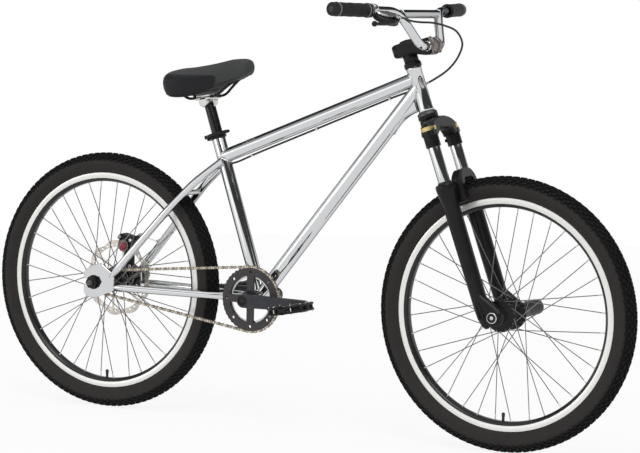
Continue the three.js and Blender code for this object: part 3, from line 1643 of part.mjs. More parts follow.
// A closed skin through rings of points, with a flat cap on each end.
function lofted(rings) {
  const count = rings[0].length;
  const corners = [];
  const face = (a, b, c) => corners.push(...a.toArray(), ...b.toArray(), ...c.toArray());
  for (let r = 0; r + 1 < rings.length; r++) {
    for (let i = 0; i < count; i++) {
      const next = (i + 1) % count;
      face(rings[r][i], rings[r][next], rings[r + 1][i]);
      face(rings[r][next], rings[r + 1][next], rings[r + 1][i]);
    }
  }
  const centre = (ring) => ring.reduce((sum, point) => sum.add(point), at(0, 0, 0)).divideScalar(count);
  const [first, last] = [rings[0], rings[rings.length - 1]];
  for (let i = 0; i < count; i++) {
    const next = (i + 1) % count;
    face(centre(first), first[next], first[i]);
    face(centre(last), last[i], last[next]);
  }
  const geometry = new THREE.BufferGeometry();
  geometry.setAttribute("position", new THREE.BufferAttribute(new Float32Array(corners), 3));
  return solidOf(geometry);
}

const saddleGroup = placedGroup(saddleFrame);
const cushionGroup = placedGroup(cushionFrame);
bike.add(saddleGroup, cushionGroup);
const saddle = lofted(saddleAlongShares.map((_, index) => saddleRing(index)));
piece(cushionGroup, "saddle", saddle, saddleCover);

// Rails: from sockets under the rear of the saddle, straight through the clamp, to the nose
const railXShares = [-0.34, -0.29, -0.2, 0.165, 0.27, 0.4];
const railZShares = [0.62, 0.4, 0, 0, 0.3, 0.6];
const railYShares = [1.25, 1.15, 1, 1, 0.75, 0.35];
const railCorners = (side) =>
  railXShares.map((share, i) =>
    at(
      share * saddleLength,
      side * railSpread * railYShares[i],
      railClampHeight + railZShares[i] * railRise,
    ),
  );
const railNose = railCorners(1)[railXShares.length - 1];
const railTie = bar(at(railNose.x, -railNose.y, railNose.z), railNose, railRadius, railSides);
const rails = joined(
  ...[1, -1].map((side) => pipe(rounded(railCorners(side), () => railBend, railStations), railRadius, railSides)),
  railTie,
);
const saddleDrop = seenFrom(saddleFrame, saddle.translate([0, 0, -seatGap]), cushionFrame);
const railsCut = cut(rails, saddleDrop);
piece(saddleGroup, "saddle_rails", railsCut, blackAlloy);

// Seatpost clamp: a barrel across the post head, with plates that hold the rails
const barrelHeight = railClampHeight - clampPlateHeight / 2;
const clampBarrel = bar(
  at(0, -clampBarrelWidth / 2, -clampBarrelRadius / 2),
  at(0, clampBarrelWidth / 2, -clampBarrelRadius / 2),
  clampBarrelRadius,
  jointSides,
);
const clampPlates = box(
  at(-clampPlateLength / 2, -clampBarrelWidth / 2, barrelHeight),
  at(clampPlateLength / 2, clampBarrelWidth / 2, barrelHeight + clampPlateHeight),
);
const railClears = [1, -1].map((side) =>
  drill(
    at(-clampPlateLength, side * railSpread, railClampHeight),
    at(clampPlateLength, side * railSpread, railClampHeight),
    railRadius + seatGap,
    cableSides,
  ),
);
piece(saddleGroup, "seatpost_clamp", cut(joined(clampBarrel, clampPlates), ...railClears), polishedAlloy);

// Seatpost, which slides in the seat tube and is cut to the clamp barrel
const barrelClear = seenFrom(
  seatPlace,
  drill(
    at(0, -clampBarrelWidth / 2, -clampBarrelRadius / 2),
    at(0, clampBarrelWidth / 2, -clampBarrelRadius / 2),
    clampBarrelRadius + seatGap,
    jointSides,
  ),
  saddleFrame,
);
const post = bar(at(0, 0, seatpostBottom), at(0, 0, saddleHeightOnPost - clampBarrelRadius / 2), seatpostRadius);
piece(seatGroup, "seatpost", cut(post, barrelClear), blackAlloy);

// Brake housing: the front loop hangs in the frame of the fork, from the lever's barrel to the head tube.
// Each row of the loop is forward, left and up from the top of the head tube.
const barrelEnd = at(leverPivotReach * barrelReachShare, perchInboard + perchLength + perchBody + seatGap, 0);
const loopStart = barrelEnd.applyMatrix4(leverPlace).applyMatrix4(steerPlace);
const frontLoopRows = [
  [72, -122, 103.9],
  [74.6, -95, 96.5],
  [83, -62, 90.3],
  [96.7, -28, 84.2],
  [113.7, 8, 69.5],
  [122.2, 34, 54.7],
  [122, 50, 36.7],
  [116.2, 60, 20.7],
  [102.4, 62, 3.4],
  [83.3, 58, -14.1],
  [60.1, 50, -28],
  [31.1, 40, -37.7],
  [6.6, 30, -43.7],
];
const frontLoop = [
  loopStart,
  ...frontLoopRows.map(([forward, left, up]) => at(forward, left, headTop + up).applyMatrix4(steerPlace)),
];
piece(bike, "brake_housing_front", pipe(smooth(frontLoop, loopSteps), housingRadius, cableSides), housingBlack);

// The rear run: under the top tube, then along the left seatstay to the caliper.
// Each row is a share of the tube's length, the distance left and the distance below or behind its axis.
const topTubeRun = [
  [0.9862, 24, 19.8],
  [0.9555, 18, 22.2],
  [0.8945, 9, 20.6],
  [0.8213, 6, 21],
  [0.474, 6, 22.1],
  [0.1268, 6, 23.1],
  [0.0865, 10, 23.4],
  [0.0425, 20, 23.7],
];
const seatstayRun = [
  [0.0099, 28, -7.4],
  [0.0556, 37, 12.2],
  [0.1308, 45, 23.5],
  [0.2532, 54, 26.2],
  [0.4002, 62, 19.8],
  [0.602, 70, 12.7],
  [0.7326, 76, 11.8],
  [0.7787, 78, 24.3],
];
const seatstayEnds = [seatstayStart, rearAxle.clone().add(at(seatstayEndX, 0, seatstayEndZ))];
const runBeside = ([from, to], rows) => {
  const way = to.clone().sub(from).normalize();
  const beside = at(way.z, 0, -way.x);
  return rows.map(([share, left, below]) => {
    const point = from.clone().lerp(to, share).addScaledVector(beside, below);
    return point.setY(left);
  });
};
const topTubeSide = runBeside(topTubeEnds, topTubeRun);
const loopEnd = frontLoop[frontLoop.length - 1];
const runStart = loopEnd.clone().add(topTubeSide[0].clone().sub(loopEnd).setLength(runGap));
const rearRun = [
  runStart,
  ...topTubeSide,
  ...runBeside(seatstayEnds, seatstayRun),
];
piece(bike, "brake_housing_rear", pipe(rounded(rearRun, () => housingBend, runStations), housingRadius, cableSides), housingBlack);

export default bike;
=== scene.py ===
"""Dirt jump bike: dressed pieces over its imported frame, with a floor, soft lights and a camera."""

from functools import lru_cache
from math import asin, atan2, copysign, cos, dist, pi, radians, sin, sqrt, tau
from types import SimpleNamespace

import bmesh
import bpy
from bpy.props import FloatProperty, FloatVectorProperty, IntProperty, PointerProperty
from mathutils import Matrix, Vector
from mathutils.geometry import tessellate_polygon


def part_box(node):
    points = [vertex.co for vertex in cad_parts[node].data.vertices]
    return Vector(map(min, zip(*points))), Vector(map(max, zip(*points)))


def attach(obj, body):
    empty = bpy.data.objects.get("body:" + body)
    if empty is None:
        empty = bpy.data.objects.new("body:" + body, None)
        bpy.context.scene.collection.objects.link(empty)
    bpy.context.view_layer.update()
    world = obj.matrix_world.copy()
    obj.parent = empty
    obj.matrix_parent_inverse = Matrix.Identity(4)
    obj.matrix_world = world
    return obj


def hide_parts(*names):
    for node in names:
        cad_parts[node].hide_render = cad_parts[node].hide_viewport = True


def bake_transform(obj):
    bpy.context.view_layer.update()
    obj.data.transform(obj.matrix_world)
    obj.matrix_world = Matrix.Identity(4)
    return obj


bl_info = {
    "name": "Dirt Jump Bike",
    "version": (1, 0, 0),
    "blender": (4, 5, 0),
    "location": "View3D > Sidebar > Bike",
    "description": "Builds the dressed pieces of a dirt jump bike over its packed frame",
    "category": "Object",
}

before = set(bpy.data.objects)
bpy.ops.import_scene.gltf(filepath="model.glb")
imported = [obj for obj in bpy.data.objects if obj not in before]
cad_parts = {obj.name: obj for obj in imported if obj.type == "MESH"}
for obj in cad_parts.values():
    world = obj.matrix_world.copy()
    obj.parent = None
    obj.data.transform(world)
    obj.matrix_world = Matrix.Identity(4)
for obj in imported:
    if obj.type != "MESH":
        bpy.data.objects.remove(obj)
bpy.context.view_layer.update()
MM = 0.001
TURN = tau
SIDES = ((1, "left"), (-1, "right"))


def length(name, description, millimetres):
    """A length that is written here in millimetres and kept in metres."""
    return FloatProperty(name=name, description=description, default=millimetres * MM, unit="LENGTH", precision=4)


def colour(name, description, red, green, blue):
    """A colour that a user may change."""
    return FloatVectorProperty(
        name=name, description=description, default=(red, green, blue), subtype="COLOR", min=0, max=1
    )


# Sizes and colours


class LayoutSizes(bpy.types.PropertyGroup):
    """Where the wheels, the cranks and the leaning tubes stand."""

    wheelbase: length("Wheelbase", "Distance between the axles", 1155)
    wheel_radius: length("Wheel radius", "Radius over the tyre", 338)
    chainstay: length("Chainstay", "Distance from the rear axle to the cranks", 465)
    bracket_drop: length("Bracket drop", "How far the cranks lie below the axles", 12)
    head_angle: FloatProperty(
        name="Head angle", description="Slope of the steering axis", default=radians(70), subtype="ANGLE"
    )
    seat_angle: FloatProperty(
        name="Seat angle", description="Slope of the seat tube", default=radians(71.5), subtype="ANGLE"
    )
    fork_offset: length("Fork offset", "How far the axle stands ahead of the steering axis", 48.8)
    saddle_height: length("Saddle height", "Clamp of the saddle along the seat tube axis", 529)


class TubeSizes(bpy.types.PropertyGroup):
    """Radii of the plated tubes, their welds and the dropout plates."""

    head: length("Head tube", "Outer radius", 18.2)
    top: length("Top tube", "Outer radius", 17.5)
    down: length("Down tube", "Outer radius", 19)
    seat: length("Seat tube", "Outer radius", 17.3)
    stay: length("Stays", "Outer radius", 9.8)
    shell: length("Bracket shell", "Outer radius", 20)
    bead: length("Weld bead", "Radius of the weld bead", 1.9)
    dropout: length("Dropout", "Thickness of the plates", 6)


class WheelSizes(bpy.types.PropertyGroup):
    """Rims, tyres and spokes."""

    rim_outer: length("Rim edge", "Radius of the rim at its edge", 285.5)
    rim_inner: length("Rim bed", "Radius of the rim at the nipples", 262)
    rim_width: length("Rim width", "Width over the flanges", 30)
    spoke: length("Spoke", "Radius of a spoke", 1.2)
    spoke_count: IntProperty(name="Spokes", description="Spokes in one wheel", default=36, min=4)
    knob: length("Knob", "Height of the tread blocks", 4.6)
    knob_rows: IntProperty(name="Tread blocks", description="Blocks in one row round the tyre", default=104, min=12)
    rotor: length("Rotor", "Radius of the brake rotor", 101.5)


class ForkSizes(bpy.types.PropertyGroup):
    """The legs and the crown."""

    leg: length("Lower leg", "Outer radius", 20.5)
    stanchion: length("Stanchion", "Outer radius", 15)
    spread: length("Leg spread", "Distance of each leg from the middle", 61)
    lowers: length("Lower length", "Height of the lower legs above the axle", 346)
    crown_foot: length("Crown foot", "Height of the crown's lower edge", 438)
    crown_height: length("Crown height", "Height of the crown", 74)


class CockpitSizes(bpy.types.PropertyGroup):
    """Bars, grips and lever."""

    bar: length("Bar", "Outer radius of the bar", 11.1)
    crossbar: length("Crossbar", "Outer radius of the crossbar", 10.5)
    grip: length("Grip", "Outer radius of the grip", 16.6)
    grip_length: length("Grip length", "Length without the end", 130)
    lever_length: length("Lever length", "From its pivot to its ball", 106)


class DriveSizes(bpy.types.PropertyGroup):
    """Chainring, chain, cranks and pedals."""

    pitch: length("Chain pitch", "Distance from pin to pin", 12.7)
    ring_teeth: IntProperty(name="Chainring teeth", description="Teeth in front", default=41, min=9)
    cog_teeth: IntProperty(name="Cog teeth", description="Teeth behind", default=14, min=9)
    chain_line: length("Chain line", "Distance of the chain from the middle", 47)
    crank: length("Crank length", "From the spindle to the pedal axle", 175)
    pedal_width: length("Pedal width", "Across the bike", 94)
    pedal_length: length("Pedal length", "Along the bike", 100)


class SaddleSizes(bpy.types.PropertyGroup):
    """The cushion and its simulation."""

    length: length("Saddle length", "From tail to nose", 241)
    width: length("Saddle width", "Across the tail", 156)
    height: length("Saddle height", "From the lowest to the highest point", 117)
    voxel: length("Voxel", "Size of the remesh before the simulation", 4.5)
    pressure: FloatProperty(name="Pressure", description="Air pressure in the cushion", default=3.5, min=0)
    swell: length("Swell", "How far a point of the cover may move", 5)


class Finishes(bpy.types.PropertyGroup):
    """The colours of the bike."""

    chrome: colour("Chrome", "Plated frame and bars", 0.66, 0.67, 0.68)
    rim: colour("Rim silver", "Anodised rims", 0.87, 0.865, 0.84)
    alloy: colour("Alloy", "Clamp, arm and perch", 0.55, 0.55, 0.54)
    black: colour("Satin black", "Black metal parts", 0.009, 0.009, 0.0095)
    fork: colour("Fork black", "Painted fork", 0.006, 0.006, 0.007)
    band: colour("Fork band", "Ring at the top of the fork leg", 0.62, 0.47, 0.22)
    ring: colour("Chainring", "Chainring steel", 0.042, 0.037, 0.039)
    crank: colour("Crank", "Crank arms", 0.026, 0.027, 0.032)
    tread: colour("Tread", "Tyre tread", 0.006, 0.006, 0.0065)
    wall: colour("Side wall", "Tyre side wall", 0.024, 0.021, 0.0205)
    grip: colour("Grip", "Grip rubber", 0.02, 0.02, 0.021)
    collar: colour("Grip collar", "Smooth rings of the grip", 0.16, 0.165, 0.17)
    rotor: colour("Rotor", "Brake rotor", 0.56, 0.53, 0.48)
    # The steel spoke wire is painted dark grey, far below bare steel: painted shade for how thin wires look dark.
    spoke: colour("Spokes", "Spoke wire", 0.17, 0.17, 0.172)
    chain: colour("Chain", "Chain plates", 0.6, 0.53, 0.42)
    steel: colour("Bare steel", "Bolts, ferrules and pins", 0.55, 0.55, 0.55)
    red: colour("Knob red", "Pad adjuster", 0.24, 0.008, 0.018)
    plastic: colour("Housing", "Cable housing and plastic", 0.008, 0.008, 0.009)
    cover: colour("Saddle cover", "Matt saddle cover", 0.04, 0.041, 0.042)
    panel: colour("Saddle panel", "Smooth side panel of the saddle", 0.005, 0.0055, 0.008)
    faceplate: colour("Faceplate", "Clamp plate of the stem", 0.2, 0.175, 0.165)
    floor: colour("Floor", "Floor and backdrop", 0.92, 0.92, 0.92)


class BikeSettings(bpy.types.PropertyGroup):
    """Every setting of the bike."""

    layout: PointerProperty(type=LayoutSizes)
    tubes: PointerProperty(type=TubeSizes)
    wheels: PointerProperty(type=WheelSizes)
    fork: PointerProperty(type=ForkSizes)
    cockpit: PointerProperty(type=CockpitSizes)
    drive: PointerProperty(type=DriveSizes)
    saddle: PointerProperty(type=SaddleSizes)
    finishes: PointerProperty(type=Finishes)


class Millimetres:
    """Reads the lengths of a property group in millimetres."""

    def __init__(self, group):
        self.group = group

    def __getattr__(self, name):
        value = getattr(self.group, name)
        return value / MM if self.group.bl_rna.properties[name].unit == "LENGTH" else value


# Points and places


def at(x, y, z):
    return Vector((x, y, z))


def placed(spot=None):
    """A place as it is, or a place at a point without a turn."""
    return spot if isinstance(spot, Matrix) else Matrix.Translation(spot or (0, 0, 0))


def standing(origin, x, y, z):
    """A place at an origin whose axes point along three directions."""
    return Matrix.Translation(origin) @ Matrix((x, y, z)).transposed().to_4x4()


def turned_to(origin, way):
    """A place at an origin whose Y runs along the given way."""
    y = Vector(way).normalized()
    x = y.cross(at(0, 0, 1))
    if x.length < 0.01:
        x = y.cross(at(1, 0, 0))
    x.normalize()
    return standing(origin, x, y, x.cross(y))


def leaning(origin, angle):
    """A place whose Z runs up a tube that leans back, and whose X points forward."""
    up = at(-cos(angle), 0, sin(angle))
    return standing(origin, at(up.z, 0, -up.x), at(0, 1, 0), up)


class Layout:
    """The places that the pieces are built in, in millimetres."""

    def __init__(self, settings):
        sizes = Millimetres(settings.layout)
        self.rear = at(-sizes.wheelbase / 2, 0, sizes.wheel_radius)
        self.front = at(sizes.wheelbase / 2, 0, sizes.wheel_radius)
        drop = sizes.bracket_drop
        self.bracket = self.rear + at(sqrt(sizes.chainstay**2 - drop**2), 0, -drop)
        ahead = at(sin(sizes.head_angle), 0, cos(sizes.head_angle))
        self.steer = leaning(self.front - ahead * sizes.fork_offset, sizes.head_angle)
        self.seat = leaning(self.bracket + at(3.5, 0, 0), sizes.seat_angle)
        self.saddle = self.seat @ at(0, 0, sizes.saddle_height)
        self.rails = placed(self.saddle) @ Matrix.Rotation(-radians(8), 4, "Y")
        self.caliper = placed(self.rear) @ Matrix.Rotation(-radians(76), 4, "Y")
        self.top_tube = (self.seat @ at(0, 0, 375), self.steer @ at(0, 0, 618.4))
        self.down_tube = (self.bracket, self.steer @ at(0, 0, 594.4))
        self.bar_centre = at(61.3, 0, 681.9)
        self.lever = self.bar_end(-1) @ Matrix.Rotation(radians(45), 4, "Y")

    def bar_corners(self, side):
        """The middle, foot, shoulder and end of one half of the bar, in the frame of the fork."""
        foot = self.bar_centre + at(0, side * 56, 0)
        shoulder = self.bar_centre + at(-6, side * 108, 90)
        end = self.bar_centre + at(-53, side * 348.5, 112)
        return [self.bar_centre, foot, shoulder, end]

    def bar_end(self, side):
        """The end of the bar as a place: its Y runs along the bar to the rider's left."""
        corners = self.bar_corners(side)
        left = (corners[3] - corners[2]).normalized() * side
        forward = left.cross(at(0, 0, 1)).normalized()
        up = forward.cross(left)
        return self.steer @ standing(corners[3], forward, left, up)

    def seatstay(self, side):
        """The bowed line of a seatstay."""
        start = self.seat @ at(0, 0, 363)
        way = self.rear + at(50, 0, 15) - start
        bow = at(way.z, 0, -way.x).normalized() * 12
        along = (0, 0.12, 0.21, 0.3, 0.39, 0.46, 0.62, 0.81, 1)
        bows = (0, 0.6, 0.95, 1, 0.97, 0.87, 0.6, 0.27, 0)
        outs = (0, 0.2, 0.34, 0.46, 0.58, 0.66, 0.8, 0.93, 1)
        line = [start + way * a + bow * b for a, b in zip(along, bows)]
        return [at(p.x, side * (16 + 51 * out), p.z) for p, out in zip(line, outs)]

    def chainstay(self, side):
        """The line of a chainstay, narrow at the bracket and wide at the axle."""
        end = self.rear + at(58, 0, -9)
        along = (0, 0.1, 0.2, 0.33, 0.47, 0.75, 1)
        outs = (0, 0.02, 0.12, 0.44, 0.6, 0.85, 1)
        line = [self.bracket.lerp(end, share) for share in along]
        return [at(p.x, side * (24 + 43 * out), p.z) for p, out in zip(line, outs)]


def polar(radius, angle, centre=(0, 0)):
    """A point at a radius and an angle, in two dimensions."""
    return centre[0] + radius * cos(angle), centre[1] + radius * sin(angle)


def turns(count):
    """Angles at even steps round a whole turn."""
    return [TURN * i / count for i in range(count)]


def squarish(angle, power):
    """The cosine and sine of an angle, drawn out towards a rounded square."""
    return [copysign(abs(value) ** power, value) for value in (cos(angle), sin(angle))]


def arc(centre, radius, start, sweep, steps):
    """Points of an arc in two dimensions."""
    return [polar(radius, start + sweep * i / steps, centre) for i in range(steps + 1)]


def circle(radius, steps, centre=(0, 0)):
    return arc(centre, radius, 0, TURN, steps)[:-1]


def lobed(radius, depth, lobes, steps, power=2):
    """A round outline with dips at even steps."""
    return [polar(radius - depth * (0.5 + 0.5 * cos(turn * lobes)) ** power, turn) for turn in turns(steps)]


def link_outline(a, radius_a, b, radius_b, steps):
    """The outline of a link with two round ends."""
    heading = atan2(b[1] - a[1], b[0] - a[0])
    lean = asin((radius_b - radius_a) / dist(a, b))
    far = arc(b, radius_b, heading - pi / 2 - lean, pi + 2 * lean, steps)
    near = arc(a, radius_a, heading + pi / 2 + lean, pi - 2 * lean, steps)
    return far + near


def bend(a, corner, b, steps):
    """The points of a bend that leaves a for a corner and ends at b."""
    return [a * (1 - t) ** 2 + corner * 2 * t * (1 - t) + b * t**2 for t in (k / steps for k in range(steps + 1))]


def rounded(corners, radius, steps=6):
    """A closed outline with its corners rounded."""
    outline = []
    for i, corner in enumerate(corners):
        here = Vector(corner)
        before, after = Vector(corners[i - 1]) - here, Vector(corners[(i + 1) % len(corners)]) - here
        reach = min(radius, before.length * 0.48, after.length * 0.48)
        curve = bend(here + before.normalized() * reach, here, here + after.normalized() * reach, steps)
        outline += [tuple(spot) for spot in curve]
    return outline


def smooth_line(points, steps):
    """A line that passes smoothly through its points."""
    padded = [points[0] * 2 - points[1], *points, points[-1] * 2 - points[-2]]
    line = []
    for i in range(1, len(padded) - 2):
        p0, p1, p2, p3 = padded[i - 1 : i + 3]
        t1 = (p1 - p0).length ** 0.5
        t2 = t1 + (p2 - p1).length ** 0.5
        t3 = t2 + (p3 - p2).length ** 0.5
        for k in range(steps):
            t = t1 + (t2 - t1) * k / steps
            a1 = p0.lerp(p1, t / t1)
            a2 = p1.lerp(p2, (t - t1) / (t2 - t1))
            a3 = p2.lerp(p3, (t - t2) / (t3 - t2))
            b1 = a1.lerp(a2, t / t2)
            b2 = a2.lerp(a3, (t - t1) / (t3 - t1))
            line.append(b1.lerp(b2, (t - t1) / (t2 - t1)))
    return [*line, points[-1].copy()]


def bent_line(corners, reaches, steps=12):
    """A line through corners that are rounded into bends."""
    line = [corners[0].copy()]
    for before, corner, after, reach in zip(corners, corners[1:], corners[2:], reaches):
        a, b = (corner + (end - corner).normalized() * reach for end in (before, after))
        line += bend(a, corner, b, steps)
    return [*line, corners[-1].copy()]


def inset(loop, distance):
    """An anticlockwise loop drawn inwards."""
    count = len(loop)
    moved = []
    for i in range(count):
        before = (Vector(loop[i]) - Vector(loop[i - 1])).normalized()
        after = (Vector(loop[(i + 1) % count]) - Vector(loop[i])).normalized()
        normal = Vector((-before.y - after.y, before.x + after.x))
        normal = normal.normalized() if normal.length > 1e-6 else Vector((-before.y, before.x))
        lean = max(0.5, normal.dot(Vector((-before.y, before.x))))
        moved.append(tuple(Vector(loop[i]) + normal * distance / lean))
    return moved


def anticlockwise(loop):
    area = sum(a[0] * b[1] - b[0] * a[1] for a, b in zip(loop, loop[1:] + loop[:1]))
    return list(loop) if area > 0 else list(reversed(loop))


def slide(point, way, wall, wall_radius):
    """A point moved along a way to where it leaves the wall of a round tube."""
    axis = (wall[1] - wall[0]).normalized()
    across = way - axis * way.dot(axis)
    away = point - wall[0]
    away -= axis * away.dot(axis)
    a, b = across.dot(across), 2 * across.dot(away)
    c = away.dot(away) - wall_radius**2
    return point + way * ((sqrt(max(b * b - 4 * a * c, 0)) - b) / (2 * a))


def blade_rings(line, spans, power, sides):
    """Rounded flat sections along a level line, each with its half width and half height."""
    rings = []
    for i, (point, (wide, tall)) in enumerate(zip(line, spans)):
        ahead = (line[min(i + 1, len(line) - 1)] - line[max(i - 1, 0)]).normalized()
        out = at(-ahead.y, ahead.x, 0)
        section = [squarish(turn, power) for turn in turns(sides)]
        rings.append([point + out * (wide * x) + at(0, 0, tall * z) for x, z in section])
    return rings


PLANES = {
    "XZ": lambda a, b, t: at(a, t, b),
    "XY": lambda a, b, t: at(a, b, t),
    "YZ": lambda a, b, t: at(t, a, b),
}

def band(a, b, count):
    """The faces between two rings of points that start at a and at b."""
    return [(a + i, a + (i + 1) % count, b + (i + 1) % count, b + i) for i in range(count)]


def mirrored(rows):
    """A profile from its right half: radius and height of each corner."""
    return rows + [(radius, -height) for radius, height in reversed(rows)]


def linked(name, data):
    """A new object in the scene."""
    made = bpy.data.objects.new(name, data)
    bpy.context.scene.collection.objects.link(made)
    return made


class Skin:
    """Closed skins in millimetres, gathered into one piece."""

    def __init__(self, place=None):
        self.place = placed(place)
        self.points = []
        self.faces = []
        self.paints = []
        self.paint = 0

    def add(self, points, faces):
        start = len(self.points)
        self.points += [self.place @ point for point in points]
        self.faces += [tuple(start + i for i in face) for face in faces]
        self.paints += [self.paint] * len(faces)
        return self

    def rings(self, rings, closed=False):
        """A skin through rings of points. Its ends are capped, or joined when it is closed."""
        count, rows = len(rings[0]), len(rings)
        faces = []
        for row in range(rows if closed else rows - 1):
            faces += band(row * count, (row + 1) % rows * count, count)
        if not closed:
            faces += [tuple(range(count)), tuple(range((rows - 1) * count, rows * count))]
        return self.add([point for ring in rings for point in ring], faces)

    def lathe(self, profile, sides=48, place=None, closed=False):
        """A profile of radius and height, turned about Y."""
        place = placed(place)
        rings = []
        for radius, y in profile:
            rings.append([place @ at(x, y, z) for x, z in (polar(radius, turn) for turn in turns(sides))])
        return self.rings(rings, closed)

    def hoop(self, profile, sides, place=None):
        """A closed profile turned about Y, so that it keeps a bore."""
        return self.lathe(profile, sides, place, closed=True)

    def rod(self, start, end, radius, end_radius=None, sides=32, edge=0.6):
        """A round bar with softened rims."""
        end_radius = radius if end_radius is None else end_radius
        span = (end - start).length
        profile = [(radius - edge, 0), (radius, edge), (end_radius, span - edge), (end_radius - edge, span)]
        return self.lathe(profile, sides, turned_to(start, end - start))

    def tube(self, line, radius, sides=24, closed=False, centre=None, walls=(None, None)):
        """A round skin along a line, of one radius or of one at each point. Its ends may be cut to a wall."""
        count = len(line)
        radii = radius if isinstance(radius, list) else [radius] * count
        rings = []
        side = None
        for i, point in enumerate(line):
            ahead = line[(i + 1) % count] if closed else line[min(i + 1, count - 1)]
            behind = line[i - 1] if closed else line[max(i - 1, 0)]
            way = (ahead - behind).normalized()
            if centre is not None:
                side = point - centre
            elif side is None:
                side = at(0, 0, 1) if abs(way.z) < 0.8 else at(1, 0, 0)
            side = (side - way * side.dot(way)).normalized()
            up = way.cross(side)
            rings.append([point + side * x + up * y for x, y in (polar(radii[i], turn) for turn in turns(sides))])
        if walls[0]:
            rings[0] = [slide(point, (line[1] - line[0]).normalized(), *walls[0]) for point in rings[0]]
        if walls[1]:
            rings[-1] = [slide(point, (line[-2] - line[-1]).normalized(), *walls[1]) for point in rings[-1]]
        return self.rings(rings, closed)

    def plate(self, outline, low, high, bevel=0.5, holes=(), plane="XZ"):
        """A plate of an outline with softened edges, and with holes through it."""
        spot = PLANES[plane]
        loops = [(anticlockwise(outline), 1)] + [(anticlockwise(hole), -1) for hole in holes]
        points, faces, caps = [], [], []
        for loop, sense in loops:
            drawn = inset(loop, bevel * sense)
            levels = [(drawn, low), (loop, low + bevel), (loop, high - bevel), (drawn, high)]
            start, count = len(points), len(loop)
            for line, level in levels:
                points += [spot(a, b, level) for a, b in line]
            for k in range(3):
                faces += band(start + k * count, start + (k + 1) * count, count)
            caps.append((start, count, drawn))
        flat = [[Vector((a, b, 0)) for a, b in drawn] for _, _, drawn in caps]
        near = [start + i for start, count, _ in caps for i in range(count)]
        far = [start + 3 * count + i for start, count, _ in caps for i in range(count)]
        for triangle in tessellate_polygon(flat):
            faces.append(tuple(near[i] for i in triangle))
            faces.append(tuple(far[i] for i in triangle))
        return self.add(points, faces)

    def ball(self, centre, radius, stretch=1.0):
        """A ball as a turned profile."""
        steps = 12
        profile = [
            (max(radius * sin(pi * k / steps), 0.05), -radius * stretch * cos(pi * k / steps))
            for k in range(steps + 1)
        ]
        return self.lathe(profile, 24, Matrix.Translation(centre))

    def bolt(self, origin, way, radius, height):
        """A round bolt head with a round socket."""
        shape = ((1, 0), (1, 0.75), (0.86, 1), (0.56, 1), (0.5, 0.4))
        profile = [(radius * wide, height * up) for wide, up in shape]
        return self.lathe(profile, 24, turned_to(origin, way))

    def nut(self, origin, way, radius, height):
        """A six-sided nut with a chamfer."""
        profile = [(radius * 0.9, 0), (radius, height * 0.12), (radius, height * 0.88), (radius * 0.88, height)]
        return self.lathe(profile, 6, turned_to(origin, way))

    def seam(self, start, way, side, up, radius, wall, bead, crests, steps):
        """A rippled bead round the foot of a tube, where it leaves the wall of another."""
        line = [start + (side * cos(a) + up * sin(a)) * radius for a in turns(steps)]
        line = [slide(point, way, *wall) for point in line]
        ripples = [bead * (1 + 0.16 * sin(TURN * crests * i / steps)) for i in range(steps)]
        return self.tube(line, ripples, 8, closed=True, centre=sum(line, at(0, 0, 0)) / steps)

    def weld(self, start, end, radius, wall, bead):
        """The weld of a frame tube."""
        way = (end - start).normalized()
        side = at(0, 1, 0)
        side = (side - way * side.dot(way)).normalized()
        return self.seam(start, way, side, way.cross(side), radius, wall, bead, 34, 160)

    def make(self, name, body, finishes, replaces=(), slot=None, origin=None, sharp=38):
        """Turns the skins into one object that rides on a body. Its origin is a point or a place."""
        mesh = bpy.data.meshes.new(name)
        home = placed(origin)
        back = home.inverted()
        mesh.from_pydata([(back @ point) * MM for point in self.points], [], self.faces)
        for finish in finishes if isinstance(finishes, (list, tuple)) else [finishes]:
            mesh.materials.append(finish)
        mesh.polygons.foreach_set("material_index", self.paints)
        draft = bmesh.new()
        draft.from_mesh(mesh)
        bmesh.ops.recalc_face_normals(draft, faces=draft.faces)
        draft.to_mesh(mesh)
        draft.free()
        mesh.shade_smooth()
        mesh.set_sharp_from_angle(angle=radians(sharp))
        piece = linked(name, mesh)
        piece.matrix_world = Matrix.Translation(home.translation * MM) @ home.to_3x3().to_4x4()
        if body:
            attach(piece, body)
        if replaces:
            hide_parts(*replaces)
        return piece


# Materials


class Wire:
    """An output socket whose arithmetic adds Math nodes to its tree."""

    def __init__(self, paint, socket):
        self.paint = paint
        self.socket = socket

    def math(self, operation, *values):
        return self.paint.node("ShaderNodeMath", {"operation": operation}, dict(enumerate(values)))

    def __add__(self, other):
        return self.math("ADD", self, other)

    def __sub__(self, other):
        return self.math("SUBTRACT", self, other)

    def __rsub__(self, other):
        return self.math("SUBTRACT", other, self)

    def __mul__(self, other):
        return self.math("MULTIPLY", self, other)


    __radd__ = __add__
    __rmul__ = __mul__


